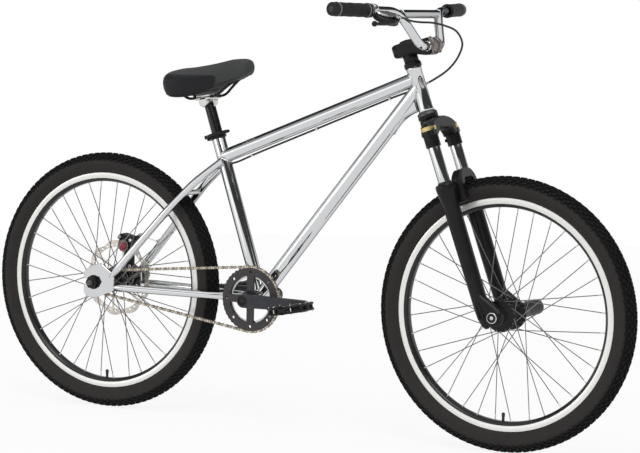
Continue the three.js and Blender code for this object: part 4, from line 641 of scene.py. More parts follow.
class Tree:
    """A node tree under construction."""

    def __init__(self, tree):
        self.tree = tree

    def node(self, kind, settings=None, sockets=None, out=0):
        """One node of a type, with its settings, and with values or links for its sockets."""
        made = self.tree.nodes.new(kind)
        for name, value in (settings or {}).items():
            if name == "stops":
                ramp = made.color_ramp
                while len(ramp.elements) < len(value):
                    ramp.elements.new(1)
                for element, (place, tone) in zip(ramp.elements, value):
                    element.position = place
                    element.color = tone
            else:
                setattr(made, name, value)
        for name, value in (sockets or {}).items():
            if isinstance(value, Wire):
                self.tree.links.new(value.socket, made.inputs[name])
            else:
                made.inputs[name].default_value = value
        return Wire(self, made.outputs[out])

    def blend(self, share, first, second):
        """A colour between two colours."""
        sockets = {0: share, 6: solid(first), 7: solid(second)}
        return self.node("ShaderNodeMix", {"data_type": "RGBA"}, sockets, out=2)

    def ramp(self, share, *stops):
        return self.node("ShaderNodeValToRGB", {"stops": [(p, solid(c)) for p, c in stops]}, {0: share})

    def stretched(self, share, low, high, to_low=0.0, to_high=1.0):
        """A value moved from one range to another and kept within it."""
        sockets = {1: low, 2: high, 3: to_low, 4: to_high, 0: share}
        return self.node("ShaderNodeMapRange", {}, sockets)

    def parts(self, vector):
        """The X, Y and Z of a vector."""
        first = self.node("ShaderNodeSeparateXYZ", {}, {0: vector})
        outputs = first.socket.node.outputs
        return [Wire(self, outputs[i]) for i in range(3)]


def solid(tone):
    """A grey number or a colour as the four values of a colour socket."""
    if isinstance(tone, Wire):
        return tone
    if isinstance(tone, (int, float)):
        return (tone, tone, tone, 1)
    return (*tone[:3], 1)


class Paint(Tree):
    """A material whose shader takes constants and a few varying inputs."""

    def __init__(self, name, **constants):
        self.material = bpy.data.materials.new(name)
        self.material.use_nodes = True
        super().__init__(self.material.node_tree)
        self.shader = self.tree.nodes["Principled BSDF"]
        for key, value in constants.items():
            self.set(key.replace("_", " ").title().replace("Ior", "IOR"), value)

    def set(self, socket, value):
        if isinstance(value, Wire):
            self.tree.links.new(value.socket, self.shader.inputs[socket])
        elif socket == "Base Color":
            self.shader.inputs[socket].default_value = solid(value)
        else:
            self.shader.inputs[socket].default_value = value

    def spot(self):
        """Where a point lies in its own piece."""
        return self.node("ShaderNodeTexCoord", {}, {}, out=3)

    def noise(self, scale, detail):
        sockets = {"Vector": self.spot(), "Scale": scale, "Detail": detail, "Roughness": 0.55}
        return self.node("ShaderNodeTexNoise", {}, sockets)

    def bump(self, height, distance, strength=1.0):
        sockets = {"Height": height, "Distance": distance, "Strength": strength}
        self.set("Normal", self.node("ShaderNodeBump", {}, sockets))

    def ring_spot(self):
        """Radius, turn and side of a point of a wheel, whose origin is its axle."""
        x, y, z = self.parts(self.spot())
        radius = x.math("POWER", x * x + z * z, 0.5)
        return radius, x.math("ARCTAN2", z, x), y


def chrome_paint(tones):
    paint = Paint("chrome_plate", metallic=1.0, specular_tint=solid(0.06))
    haze = paint.noise(38, 5)
    fine = paint.noise(900, 2)
    paint.set("Base Color", paint.blend(haze, [c * 0.93 for c in tones.chrome], tones.chrome))
    paint.set("Roughness", paint.stretched(haze, 0.3, 0.75, 0.035, 0.085) + fine * 0.012)
    paint.bump(paint.noise(55, 2), 0.00006, 0.5)
    return paint.material


def metal_paint(name, tone, roughness, metallic=1.0, shine=0.5):
    """Machined or blasted metal with a fine grain and slightly uneven gloss."""
    paint = Paint(name, metallic=metallic, specular_ior_level=shine)
    cloud = paint.noise(22, 4)
    fine = paint.noise(260, 3)
    worn = [min(1, c * 1.25 + 0.01) for c in tone]
    paint.set("Base Color", paint.blend(paint.stretched(cloud + fine * 0.4, 0.45, 1.0), tone, worn))
    paint.set("Roughness", paint.stretched(cloud + fine * 0.3, 0.3, 1.0, roughness * 0.85, roughness * 1.2))
    paint.bump(fine, 0.00004, 0.6)
    return paint.material


def rim_paint(tones):
    paint = Paint("rim_silver", metallic=0.45)
    radius, turn, _ = paint.ring_spot()
    spot = paint.node("ShaderNodeCombineXYZ", {}, {0: radius * 4000, 1: turn * 6})
    sockets = {"Vector": spot, "Scale": 1.0, "Detail": 3.0}
    lines = paint.node("ShaderNodeTexNoise", {"noise_dimensions": "2D"}, sockets)
    paint.set("Base Color", paint.blend(lines, [c * 0.9 for c in tones.rim], tones.rim))
    paint.set("Roughness", paint.stretched(lines, 0.3, 0.7, 0.24, 0.36))
    paint.bump(lines, 0.00003, 0.5)
    return paint.material


def tyre_paint(name, tone, rough):
    """Rubber with moulding lines round the wheel and a dusty bloom."""
    paint = Paint(name, specular_ior_level=0.16)
    radius = paint.ring_spot()[0]
    dust = paint.noise(30, 5)
    fine = paint.noise(420, 3)
    ribs = radius.math("SINE", radius * 5200)
    dusty = [c * 1.4 + 0.001 for c in tone]
    paint.set("Base Color", paint.blend(paint.stretched(dust + fine * 0.3, 0.4, 0.95), tone, dusty))
    paint.set("Roughness", paint.stretched(dust, 0.3, 0.7, rough - 0.08, rough + 0.08))
    paint.bump(fine + ribs * 0.12, 0.00025, 0.5)
    return paint.material


def grip_paint(tones):
    """Rubber with rows of small raised diamonds, and painted shade on the low diamonds between them."""
    paint = Paint("grip_rubber", specular_ior_level=0.3)
    x, y, z = paint.parts(paint.spot())
    turn = x.math("ARCTAN2", z, x)
    across = x.math("SINE", turn * 9 + y * 900)
    along = x.math("SINE", turn * 9 - y * 900)
    diamonds = paint.stretched(across * along, -0.15, 0.35)
    fine = paint.noise(500, 3)
    # The low diamonds are painted darker than the raised ones: painted shade in the recesses.
    paint.set("Base Color", paint.blend(diamonds * 0.7 + fine * 0.3, [c * 0.55 for c in tones.grip], tones.grip))
    paint.set("Roughness", paint.stretched(fine, 0.3, 0.7, 0.62, 0.8))
    paint.bump(diamonds + fine * 0.15, 0.0006, 0.8)
    return paint.material


def plain_paint(name, tone, rough, grain=300, depth=0.00008, coat=0.0, shine=0.5):
    """Moulded plastic or painted surface."""
    paint = Paint(name, coat_weight=coat, coat_roughness=0.06, specular_ior_level=shine)
    cloud = paint.noise(26, 4)
    fine = paint.noise(grain, 3)
    paint.set("Base Color", paint.blend(paint.stretched(cloud, 0.35, 0.75), tone, [c * 1.3 + 0.002 for c in tone]))
    paint.set("Roughness", paint.stretched(cloud + fine * 0.3, 0.35, 0.95, rough * 0.85, rough * 1.15))
    paint.bump(fine, depth, 0.5)
    return paint.material


def cover_paint(tones):
    """Matt grained saddle cover, with smoother dark panels low on both sides of the tail."""
    paint = Paint("saddle_cover", sheen_weight=0.04, sheen_roughness=0.4, specular_ior_level=0.3)
    x, y, z = paint.parts(paint.spot())
    cells = paint.node("ShaderNodeTexVoronoi", {"feature": "F1"}, {"Vector": paint.spot(), "Scale": 620.0})
    fine = paint.noise(800, 3)
    cloud = paint.noise(18, 4)
    ahead = x.math("MAXIMUM", x - 0.03, 0.0)
    panel_top = 0.063 - ahead * ahead * 70
    panel = paint.stretched(panel_top - z, -0.0006, 0.0006)
    seam = 1 - paint.stretched(z.math("ABSOLUTE", panel_top - z), 0.0, 0.0011)
    wide = paint.stretched(z.math("ABSOLUTE", y), 0.028, 0.032)
    panel = panel * wide
    seam = seam * wide
    light = [c * 1.3 for c in tones.cover]
    top = paint.blend(paint.stretched(cloud + cells * 0.3, 0.35, 0.95), tones.cover, light)
    base = paint.blend(panel, top, tones.panel)
    paint.set("Base Color", paint.blend(seam * 0.7, base, [c * 0.4 for c in tones.panel]))
    paint.set("Roughness", paint.stretched(panel, 0.0, 1.0, 0.66, 0.5) + fine * 0.06)
    paint.bump((cells * 0.7 + fine * 0.3) * (1 - panel * 0.75) - seam * 1.6, 0.0003, 0.7)
    return paint.material


@lru_cache
def paints():
    """Every material of the bike, made once."""
    tones = bpy.context.scene.dirt_jump_bike.finishes
    return SimpleNamespace(
        chrome=chrome_paint(tones),
        rim=rim_paint(tones),
        rim_black=metal_paint("rim_black", tones.black, 0.3, 0.3),
        alloy=metal_paint("cast_alloy", tones.alloy, 0.26),
        black=metal_paint("satin_black", tones.black, 0.34, 0.2, 0.2),
        post=metal_paint("post_black", [c * 1.8 for c in tones.black], 0.24, 0.7),
        fork=plain_paint("fork_black", tones.fork, 0.3, 220, 0.00004, shine=0.2),
        band=metal_paint("gold_band", tones.band, 0.3),
        ring=metal_paint("chainring_steel", tones.ring, 0.45, 0.45, 0.4),
        crank=metal_paint("crank_grey", tones.crank, 0.4, 0.4, 0.4),
        faceplate=metal_paint("faceplate_grey", tones.faceplate, 0.4, 0.6),
        tread=tyre_paint("tyre_tread", tones.tread, 0.72),
        wall=tyre_paint("tyre_wall", tones.wall, 0.66),
        grip=grip_paint(tones),
        collar=plain_paint("grip_collar", tones.collar, 0.55),
        # The spoke wire takes the dark spoke tone, which is painted shade on steel wire.
        spoke=metal_paint("spoke_wire", tones.spoke, 0.34),
        chain=metal_paint("chain_bronze", tones.chain, 0.36),
        dark_chain=metal_paint("chain_dark", [c * 0.36 for c in tones.chain], 0.42),
        rotor=metal_paint("rotor_steel", tones.rotor, 0.34),
        steel=metal_paint("bare_steel", tones.steel, 0.3),
        dark_steel=metal_paint("dark_steel", [c * 0.16 for c in tones.steel], 0.4),
        red=plain_paint("knob_red", tones.red, 0.3, coat=0.3),
        plastic=plain_paint("black_plastic", tones.plastic, 0.4),
        cover=cover_paint(tones),
        base=plain_paint("saddle_base", [c * 0.5 for c in tones.plastic], 0.5),
    )


def bench(context, group="layout"):
    """The places, one group of sizes in millimetres, and the finishes."""
    settings = context.scene.dirt_jump_bike
    return Layout(settings), Millimetres(getattr(settings, group)), paints()


# Stage


FLOOR_RADIUS = 5
FLOOR_SIDES = 96
FLOOR_GLOW = 0.88
WALL_LIGHT = 0.62

# Direction, strength and spread in degrees of each lamp.
LAMPS = {
    "key": ((0.35, -0.55, 1), 0.85, 32),
    "fill": ((-0.6, -0.8, 0.55), 0.35, 60),
    "streak": ((-0.7, -0.65, 0.2), 0.1, 12),
}

CAMERA_SPOT = (3.00081, -5.42406, 1.11038)
CAMERA_ANGLES = (28.4816, 5.4658, 1.18286)
CAMERA_LENS = 138.18

# Tones of the room by the sine of the height above the horizon: white walls, a dark zone and a white ceiling.
ROOM_TONES = ((0.0, 1.0), (0.3, 1.0), (0.36, 0.06), (0.66, 0.05), (0.72, 1.0), (1.0, 1.0))


def lamp(name, way, strength, spread):
    """A broad, soft sun lamp that shines from a direction."""
    light = bpy.data.lights.new(name, "SUN")
    light.energy = strength
    light.angle = radians(spread)
    linked(name, light).rotation_euler = at(*way).to_track_quat("Z", "Y").to_euler()


def seen_rays(tree):
    """One for every ray that shows the background: to the camera, in a mirror or through glass."""
    rays = tree.node("ShaderNodeLightPath").socket.node.outputs
    return Wire(tree, rays[0]) + Wire(tree, rays[3]) + Wire(tree, rays[6])


def floor_paint(tones):
    """Pale paper with a fine tooth, which looks white and still keeps a shadow."""
    paint = Paint("floor_paper", roughness=0.9, specular_ior_level=0.0)
    paint.set("Base Color", paint.blend(paint.noise(1.2, 3), [c * 0.99 for c in tones.floor], tones.floor))
    glow = paint.node("ShaderNodeEmission", {}, {0: solid(1.0), 1: 1.0})
    paper = Wire(paint, paint.shader.outputs[0])
    mixed = paint.node("ShaderNodeMixShader", {}, {0: seen_rays(paint) * FLOOR_GLOW, 1: paper, 2: glow})
    paint.tree.links.new(mixed.socket, paint.tree.nodes["Material Output"].inputs[0])
    return paint.material


def studio_world():
    """One room that the camera, mirrors and glass all show alike, and that lights at a plain level."""
    world = bpy.data.worlds.new("studio")
    world.use_nodes = True
    bpy.context.scene.world = world
    tree = Tree(world.node_tree)
    height = tree.parts(tree.node("ShaderNodeTexCoord"))[2]
    seen = seen_rays(tree)
    tone = tree.blend(seen, 1.0, tree.ramp(height, *ROOM_TONES))
    strength = tree.stretched(seen, 0.0, 1.0, WALL_LIGHT, 1.0)
    background = world.node_tree.nodes["Background"]
    tree.tree.links.new(tone.socket, background.inputs["Color"])
    tree.tree.links.new(strength.socket, background.inputs["Strength"])


def stage_camera(context):
    """The camera, turned by its yaw, pitch and roll."""
    yaw, pitch, roll = (radians(angle) for angle in CAMERA_ANGLES)
    ahead = at(-sin(yaw) * cos(pitch), cos(yaw) * cos(pitch), -sin(pitch))
    right = ahead.cross(at(0, 0, 1)).normalized()
    up = right.cross(ahead)
    sideways = right * cos(roll) + up * sin(roll)
    upright = up * cos(roll) - right * sin(roll)
    camera = bpy.data.cameras.new("camera")
    camera.lens = CAMERA_LENS
    camera.clip_end = 200
    holder = linked("camera", camera)
    holder.matrix_world = standing(at(*CAMERA_SPOT), sideways, upright, -ahead)
    context.scene.camera = holder


class BIKE_OT_stage(bpy.types.Operator):
    """Puts up the floor, the lamps, the world and the camera"""

    bl_idname = "bike.stage"
    bl_label = "Stage"

    def execute(self, context):
        mesh = bpy.data.meshes.new("floor")
        edge = [at(x, y, 0) for x, y in circle(FLOOR_RADIUS, FLOOR_SIDES)]
        mesh.from_pydata(edge, [], [tuple(range(FLOOR_SIDES))])
        mesh.materials.append(floor_paint(context.scene.dirt_jump_bike.finishes))
        linked("floor", mesh)
        for name, values in LAMPS.items():
            lamp(name, *values)
        stage_camera(context)
        studio_world()
        context.scene.view_settings.view_transform = "Standard"
        return {"FINISHED"}


# Cables


# Rows of the loop from the lever to the head tube: forward, left and up from the head tube's top.
FRONT_CABLE = [
    (72, -122, 103.9), (74.6, -95, 96.5), (83, -62, 90.3), (96.7, -28, 84.2), (113.7, 8, 69.5), (122.2, 34, 54.7),
    (122, 50, 36.7), (116.2, 60, 20.7), (102.4, 62, 3.4), (83.3, 58, -14.1), (60.1, 50, -28), (31.1, 40, -37.7),
    (6.6, 30, -43.7),
]

# The tubes that the rear housing follows, and its rows along them.
UNDER_TOP_TUBE = ((-228.1, 0, 681.6), (320.1, 0, 902.4))
UNDER_ROWS = [
    (0.9862, 24, 19.8), (0.9555, 18, 22.2), (0.8945, 9, 20.6), (0.8213, 6, 21), (0.474, 6, 22.1),
    (0.1268, 6, 23.1), (0.0865, 10, 23.4), (0.0425, 20, 23.7),
]
DOWN_SEATSTAY = ((-224.3, 0, 670.2), (-527.5, 0, 353))
STAY_ROWS = [
    (0.0099, 28, -7.4), (0.0556, 37, 12.2), (0.1308, 45, 23.5), (0.2532, 54, 26.2), (0.4002, 62, 19.8),
    (0.602, 70, 12.7), (0.7326, 76, 11.8), (0.7787, 78, 24.3),
]
HOUSING = 2.6
FERRULE = 3.1


def along_tube(ends, rows):
    """Points beside a tube: share of its length, distance to the left, and distance off it in its plane."""
    start, end = (at(*spot) for spot in ends)
    way = end - start
    beside = at(way.z, 0, -way.x).normalized()
    return [start + way * share + at(0, left, 0) + beside * off for share, left, off in rows]


def rear_cable_points():
    """The run under the top tube and down the left seatstay."""
    return along_tube(UNDER_TOP_TUBE, UNDER_ROWS) + along_tube(DOWN_SEATSTAY, STAY_ROWS)


def line_marks(line):
    """How far each point of a line lies along it."""
    marks = [0.0]
    for a, b in zip(line, line[1:]):
        marks.append(marks[-1] + (b - a).length)
    return marks


def spaced(line, shares):
    """Points at shares of the length of a line."""
    marks = line_marks(line)
    points, k = [], 0
    for share in shares:
        want = marks[-1] * share
        while k < len(line) - 2 and marks[k + 1] < want:
            k += 1
        points.append(line[k].lerp(line[k + 1], (want - marks[k]) / (marks[k + 1] - marks[k])))
    return points


def eased(line, passes):
    """A line whose bends are opened while its ends stay."""
    for _ in range(passes):
        inner = [(a + b * 2 + c) / 4 for a, b, c in zip(line, line[1:], line[2:])]
        line = [line[0], *inner, line[-1]]
    return line


class BIKE_OT_cables(bpy.types.Operator):
    """Lays the two brake housings"""

    bl_idname = "bike.cables"
    bl_label = "Brake housings"

    def execute(self, context):
        layout, _, paint = bench(context)
        start = layout.lever @ at(31.2, 213.29, 0)
        rows = [layout.steer @ at(forward, left, HEAD_TOP + up) for forward, left, up in FRONT_CABLE]
        front = smooth_line([start, *rows], 6)
        first = front[-1] + (front[-1] - front[-2]).normalized() * 1.2
        rear = eased(spaced(smooth_line([first, *rear_cable_points()], 6), [i / 149 for i in range(150)]), 22)
        for name, line, body in (("front", front, None), ("rear", rear, "frame")):
            skin = Skin().tube(line, HOUSING, 16)
            piece = skin.make(name + "_housing", body, paint.plastic, ["brake_housing_" + name], "housing_plastic")
            path = [tuple(point * MM) for point in line]
            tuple(path[0])
            line_marks(line)[-1] * MM
            if body is None:
                front[-1] * MM
                front[4] * MM
                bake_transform(piece)
        ends = Skin()
        ends.rod(front[0], front[0].lerp(front[2], 0.9), FERRULE, sides=20)
        ends.make("front_ferrule", "steering", paint.steel)
        ends = Skin()
        ends.rod(rear[-1], rear[-1] + (rear[-3] - rear[-1]).normalized() * 12, FERRULE, sides=20)
        ends.rod(front[-1] + (front[-3] - front[-1]).normalized() * 7, rear[0].lerp(rear[2], 0.8), 3.3, sides=20)
        ends.make("rear_ferrules", "frame", paint.steel)
        return {"FINISHED"}


# Frame


UP = Matrix.Rotation(pi / 2, 4, "X")
HEAD_FOOT = 533.4
HEAD_TOP = 645.4


def gusset(skin, layout, tubes):
    """The plate with a waisted edge between the head tube and the down tube."""
    a, b = layout.down_tube
    back = (a - b).normalized()
    under = at(-back.z, 0, back.x)
    corners = [
        layout.steer @ at(-tubes.head + 0.6, 0, 541.5),
        layout.steer @ at(-tubes.head + 0.6, 0, 585),
        b + back * 40,
        b + back * 138,
        b + back * 138 + under * tubes.down,
    ]
    edge = [
        corners[4].lerp(corners[0], share) - under * 10 * waist
        for share, waist in zip((0.12, 0.25, 0.38, 0.5, 0.62, 0.75, 0.88), (0.4, 0.75, 0.93, 1, 0.93, 0.75, 0.4))
    ]
    outline = [(point.x, point.z) for point in corners + edge]
    skin.plate(outline, -12, 12, 2.2)
    for side in (-12, 12):
        line = [at(x, side * 0.96, z) for x, z in outline[4:] + outline[:1]]
        skin.tube(smooth_line(line, 6), 1.6, 8)


def dropout(layout, tubes, chrome, side, hand):
    """A plate round the axle, whose slot is open to the rear."""
    shape = [
        (-31, 27), (-7, 44), (22, 52), (39, 38.6), (60, 25), (62, -20), (39, -28), (6, -40.5), (-20, -40.5),
        (-31, -31),
    ]
    slot = [(-31, -7.3), *arc((0, 0), 7.3, -pi / 2, pi, 16), (-31, 7.3)]
    outline = anticlockwise(rounded(shape, 9, 6))
    outline = [spot for spot in outline if not (spot[0] < -29 and abs(spot[1]) < 9)]
    below = [x < -29 and z < 0 for x, z in outline]
    start = next(i for i, inside in enumerate(below) if inside and not below[i - 1])
    outline = outline[start:] + outline[:start]
    plate = Skin(layout.rear)
    low = side * 67 - tubes.dropout / 2
    plate.plate(list(reversed(slot)) + outline, low, low + tubes.dropout, 0.8)
    plate.make("plated_dropout_" + hand, "frame", chrome, ["dropout_" + hand], "chrome_plate")


def head_plate(layout, paint):
    """The plain oval plate on the right of the head tube."""
    plate = Skin(layout.steer)
    heading = radians(-38)
    for finish, outer, raised in ((0, 1.0, 18.9), (1, 0.8, 19.5)):
        plate.paint = finish
        rings = []
        for size, radius in ((1.0, 17.9), (1.0, raised), (0.9, raised + 0.3), (0.08, raised + 0.3)):
            wide, tall = 0.4 * outer * size, 18 * outer * size
            oval = [(heading + wide * cos(a), 603 + tall * sin(a)) for a in turns(40)]
            rings.append([at(*polar(radius, turn), height) for turn, height in oval])
        plate.rings(rings)
    plate.make("head_plate", "frame", [paint.dark_steel, paint.alloy])


def cable_clips(layout, paint):
    """The three clips that hold the rear housing under the top tube."""
    clips = Skin()
    points = rear_cable_points()
    way = (layout.top_tube[1] - layout.top_tube[0]).normalized()
    for point in (points[3].lerp(points[2], 0.35), points[4], points[5].lerp(points[4], 0.02)):
        clips.hoop([(2.75, 0), (3.8, 0), (3.8, 6), (2.75, 6)], 24, turned_to(point - way * 3, way))
    clips.make("cable_clips", "frame", paint.steel)


class BIKE_OT_frame(bpy.types.Operator):
    """Builds the plated tubes, their welds and the dropouts"""

    bl_idname = "bike.frame"
    bl_label = "Frame"

    def execute(self, context):
        layout, tubes, paint = bench(context, "tubes")
        chrome = paint.chrome
        steer_line = (layout.steer @ at(0, 0, 0), layout.steer @ at(0, 0, 700))
        seat_line = (layout.seat @ at(0, 0, 0), layout.seat @ at(0, 0, 500))
        shell_line = (layout.bracket, layout.bracket + at(0, 1, 0))
        head_wall, seat_wall, shell_wall = (steer_line, tubes.head), (seat_line, tubes.seat), (
            shell_line, tubes.shell,
        )

        lip = [(16.4, 0.4), (tubes.head + 0.5, 0), (tubes.head + 1, 1), (tubes.head + 1, 5), (tubes.head, 8)]
        profile = [(radius, HEAD_FOOT + up) for radius, up in lip]
        profile += [(radius, HEAD_TOP - up) for radius, up in reversed(lip)]
        head = Skin(layout.steer).hoop(profile, 96, UP)
        head.make("plated_head_tube", "frame", chrome, ["head_tube"], "chrome_plate")

        def level(radius, height):
            return [layout.seat @ at(*polar(radius, turn), height) for turn in turns(72)]

        seat = Skin()
        lean = (seat_line[1] - seat_line[0]).normalized()
        mitre = [slide(point, lean, *shell_wall) for point in level(tubes.seat, 30)]
        mouth = [(tubes.seat, 435), (tubes.seat - 0.5, 436), (15.8, 436), (15.5, 434), (15.5, 60)]
        seat.rings([mitre] + [level(radius, height) for radius, height in mouth])
        seat.weld(*seat_line, tubes.seat, shell_wall, tubes.bead)
        seat.make("plated_seat_tube", "frame", chrome, ["seat_tube"], "chrome_plate")

        for name, (a, b), radius, wall in (
            ("top_tube", layout.top_tube, tubes.top, seat_wall),
            ("down_tube", layout.down_tube, tubes.down, shell_wall),
        ):
            skin = Skin()
            skin.tube([a.lerp(b, i / 8) for i in range(9)], radius, 64, walls=(wall, head_wall))
            skin.weld(a, b, radius, wall, tubes.bead)
            skin.weld(b, a, radius, head_wall, tubes.bead)
            if name == "down_tube":
                gusset(skin, layout, tubes)
            skin.make("plated_" + name, "frame", chrome, [name], "chrome_plate")

        shell = Skin(layout.bracket)
        outer = tubes.shell
        profile = [
            (16.5, -36.3), (outer - 0.6, -36.5), (outer, -35.8), (outer, 35.8), (outer - 0.6, 36.5), (16.5, 36.3),
        ]
        shell.hoop(profile, 72)
        shell.paint = 1
        cup = [(9.9, 30), (16.4, 30), (16.4, 36.2), (15.4, 36.9), (10.6, 36.9), (9.9, 36.2)]
        for side in (-1, 1):
            shell.hoop([(radius, side * y) for radius, y in cup], 48)
        shell.make("bracket_shell", "frame", [chrome, paint.black], ["bottom_bracket_shell"], "chrome_plate")

        for side, hand in SIDES:
            for name, line, wall in (
                ("seatstay_", layout.seatstay(side), seat_wall),
                ("chainstay_", layout.chainstay(side), shell_wall),
            ):
                line = smooth_line(line, 8)
                radii = [tubes.stay] * (len(line) - 4) + [tubes.stay * share for share in (0.97, 0.88, 0.7, 0.35)]
                stay = Skin().tube(line, radii, 40, walls=(wall, None))
                stay.weld(line[0], line[3], tubes.stay, wall, tubes.bead * 0.8)
                stay.make("plated_" + name + hand, "frame", chrome, [name + hand], "chrome_plate")
            dropout(layout, tubes, chrome, side, hand)

        low, high = (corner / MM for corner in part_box("seatstay_bridge"))
        middle = (low + high) / 2
        bridge = Skin()
        bridge.rod(at(middle.x, low.y - 2, middle.z), at(middle.x, high.y + 2, middle.z), 6.5, sides=40)
        for side in (-1, 1):
            weld = [at(x, side * (high.y - 0.6), z) for x, z in circle(7, 48, (middle.x, middle.z))]
            bridge.tube(weld, 1.5, 8, closed=True, centre=at(middle.x, side * high.y, middle.z))
        bridge.make("plated_bridge", "frame", chrome, ["seatstay_bridge"], "chrome_plate")
        head_plate(layout, paint)
        cable_clips(layout, paint)
        return {"FINISHED"}


# Fork


LEG_AHEAD = 20.5


def lowers(layout, fork, paint):
    """Both lower legs with their seals, lugs and arch."""
    legs = Skin(layout.steer)
    top, leg = fork.lowers, fork.leg
    inner = fork.stanchion + 0.5
    mouth = [(inner, 1), (inner + 3.2, 0.6), (23.4, 2), (25.4, 5), (25.6, 14), (24.8, 22), (23, 36), (leg, 54)]
    profile = [(radius, top - down) for radius, down in mouth] + [(leg * 0.985, top - 120)]
    shares = ((0.95, 120), (0.93, 70), (0.92, 30), (0.86, 8), (0.62, -12), (0.4, -19))
    profile += [(leg * share, height) for share, height in shares] + [(2, -20), (2, 60), (inner, 100)]
    seal = [(inner - 0.2, -1), (17.6, -1), (17.2, 2.6), (15.9, 3.4), (inner - 0.2, 3)]
    lug = link_outline((LEG_AHEAD + 4, 52), 13.5, (48.8, 0), 23.5, 14)
    for side, _ in SIDES:
        spot = at(LEG_AHEAD, side * fork.spread, 0)
        legs.paint = 0
        legs.hoop(profile, 72, placed(spot) @ UP)
        legs.paint = 1
        legs.hoop(seal, 64, placed(spot + at(0, 0, top)) @ UP)
        legs.paint = 0
        legs.plate(lug, *sorted((side * 55, side * 80)), 3.4)
        washer = [(10.6, 79.5), (18, 79.5), (18.6, 80), (17.5, 81.2), (10.6, 81.2)]
        legs.hoop([(radius, side * y) for radius, y in washer], 48, at(48.8, 0, 0))
        for rib in (-1, 1):
            legs.rod(at(LEG_AHEAD + rib * 6, side * 80, 6), at(LEG_AHEAD + rib * 4, side * 78, 60), 3.4, 1.6, 16)
        legs.bolt(at(LEG_AHEAD - 2, side * fork.spread, -19.4), (0, 0, -1), 5, 2)
    foot, rise = top - 56, 82
    spans = (-0.96, -1, -0.85, -0.42, 0.42, 0.85, 1, 0.96, 0.7, 0.7, 0.46, -0.46, -0.7, -0.7)
    rises = (0, 0.49, 0.8, 1, 1, 0.8, 0.49, 0, 0, 0.49, 0.71, 0.71, 0.49, 0)
    outline = rounded([(span * 52, foot + rise * share) for span, share in zip(spans, rises)], 12, 5)
    legs.plate(outline, LEG_AHEAD + 9.5, LEG_AHEAD + 37.5, 4, plane="YZ")
    inside = [(y * 0.86, foot + 8 + (z - foot) * 0.9) for y, z in outline]
    legs.plate(inside, LEG_AHEAD + 36.5, LEG_AHEAD + 38.4, 0.8, plane="YZ")
    legs.make("lower_legs", "fork_lowers", [paint.fork, paint.plastic], ["fork_lowers"], "black_alloy")


class BIKE_OT_fork(bpy.types.Operator):
    """Builds the headset, the crown, the stanchions and the lower legs"""

    bl_idname = "bike.fork"
    bl_label = "Fork"

    def execute(self, context):
        layout, fork, paint = bench(context, "fork")
        low = Skin(layout.steer)
        cup = [(14.9, 512.4), (22.5, 512.4), (24.6, 514.2), (25.4, 517), (25.4, 520.5), (24.2, 521.6), (14.9, 521.6)]
        low.hoop(cup, 72, UP)
        low.paint = 1
        low.hoop([(14.9, 522), (24.4, 522), (25.2, 523), (25.2, 528), (23, 531), (20.4, 533), (14.9, 533)], 72, UP)
        low.make("lower_headset", "frame", [paint.black, paint.dark_steel], ["headset_lower_cup"], "black_alloy")
        high = Skin(layout.steer)
        high.hoop([(14.9, 645.8), (20.4, 645.8), (21.9, 648.5), (21.9, 653), (21, 654.2), (14.9, 654.2)], 72, UP)
        high.hoop([(14.9, 654.7), (21.6, 654.7), (21.8, 656), (20.6, 659), (18.2, 660.7), (14.9, 660.7)], 72, UP)
        high.make("upper_headset", "frame", paint.black, ["headset_upper_cup"], "black_alloy")

        crown = Skin(layout.steer)
        base, rise = fork.crown_foot, fork.crown_height
        half = fork.spread + 18.6
        spans = (-1, -0.92, -0.66, -0.3, 0.3, 0.66, 0.92, 1, 0.56, 0.42, 0.2, -0.2, -0.42, -0.56)
        heights = (0.34, 0.66, 0.91, 1, 1, 0.91, 0.66, 0.34, 0.34, 0.56, 0.62, 0.62, 0.56, 0.34)
        outline = rounded([(span * half, base + rise * height) for span, height in zip(spans, heights)], 14, 5)
        crown.plate(outline, LEG_AHEAD - 18, LEG_AHEAD + 18, 4.5, plane="YZ")
        race = [(14.4, -33), (22.5, -33), (24, -31), (24, -2), (22.6, 0), (14.4, 0)]
        top = base + rise
        crown.hoop(race, 72, placed(at(0, 0, top)) @ UP)
        crown.lathe([(13, top - 30), (14.3, top - 29), (14.3, 711), (13, 711.6)], 48, UP)
        sleeve = [(15.4, 0.2), (17.6, 0), (18.6, 1.2), (18.6, 52), (17.8, 54), (15.4, 54.4), (15.4, 30)]
        cap = [(3, 40), (15.2, 40), (15.6, 54), (14, 57.5), (11, 58.5), (3, 58)]
        for side, _ in SIDES:
            place = placed(at(LEG_AHEAD, side * fork.spread, base)) @ UP
            crown.paint = 0
            crown.hoop(sleeve, 64, place)
            crown.lathe(cap, 48, place)
            crown.bolt(at(LEG_AHEAD, side * fork.spread, base + 58), (0, 0, 1), 6, 2.4)
            crown.paint = 1
            crown.hoop([(18.3, 40), (19.1, 40.6), (19.1, 50.4), (18.3, 51)], 64, place)
            crown.paint = 0
            for height in (16, 30):
                crown.bolt(at(LEG_AHEAD - 14.4, side * (fork.spread - 11), base + height), (-1, 0, 0), 4.2, 4)
        crown.make("fork_bridge", "steering", [paint.fork, paint.band], ["fork_crown"], "black_alloy")

        for side, hand in SIDES:
            tube = Skin(layout.steer)
            place = placed(at(LEG_AHEAD, side * fork.spread, 0)) @ UP
            radius = fork.stanchion
            tube.lathe(
                [(3, 196.5), (radius - 0.8, 196.5), (radius, 198), (radius, 473), (radius - 0.8, 474.5), (3, 474.5)],
                64, place,
            )
            tube.make("plated_stanchion_" + hand, "steering", paint.chrome, ["stanchion_" + hand], "chrome_plate")
        lowers(layout, fork, paint)
        return {"FINISHED"}


# Axles and pegs


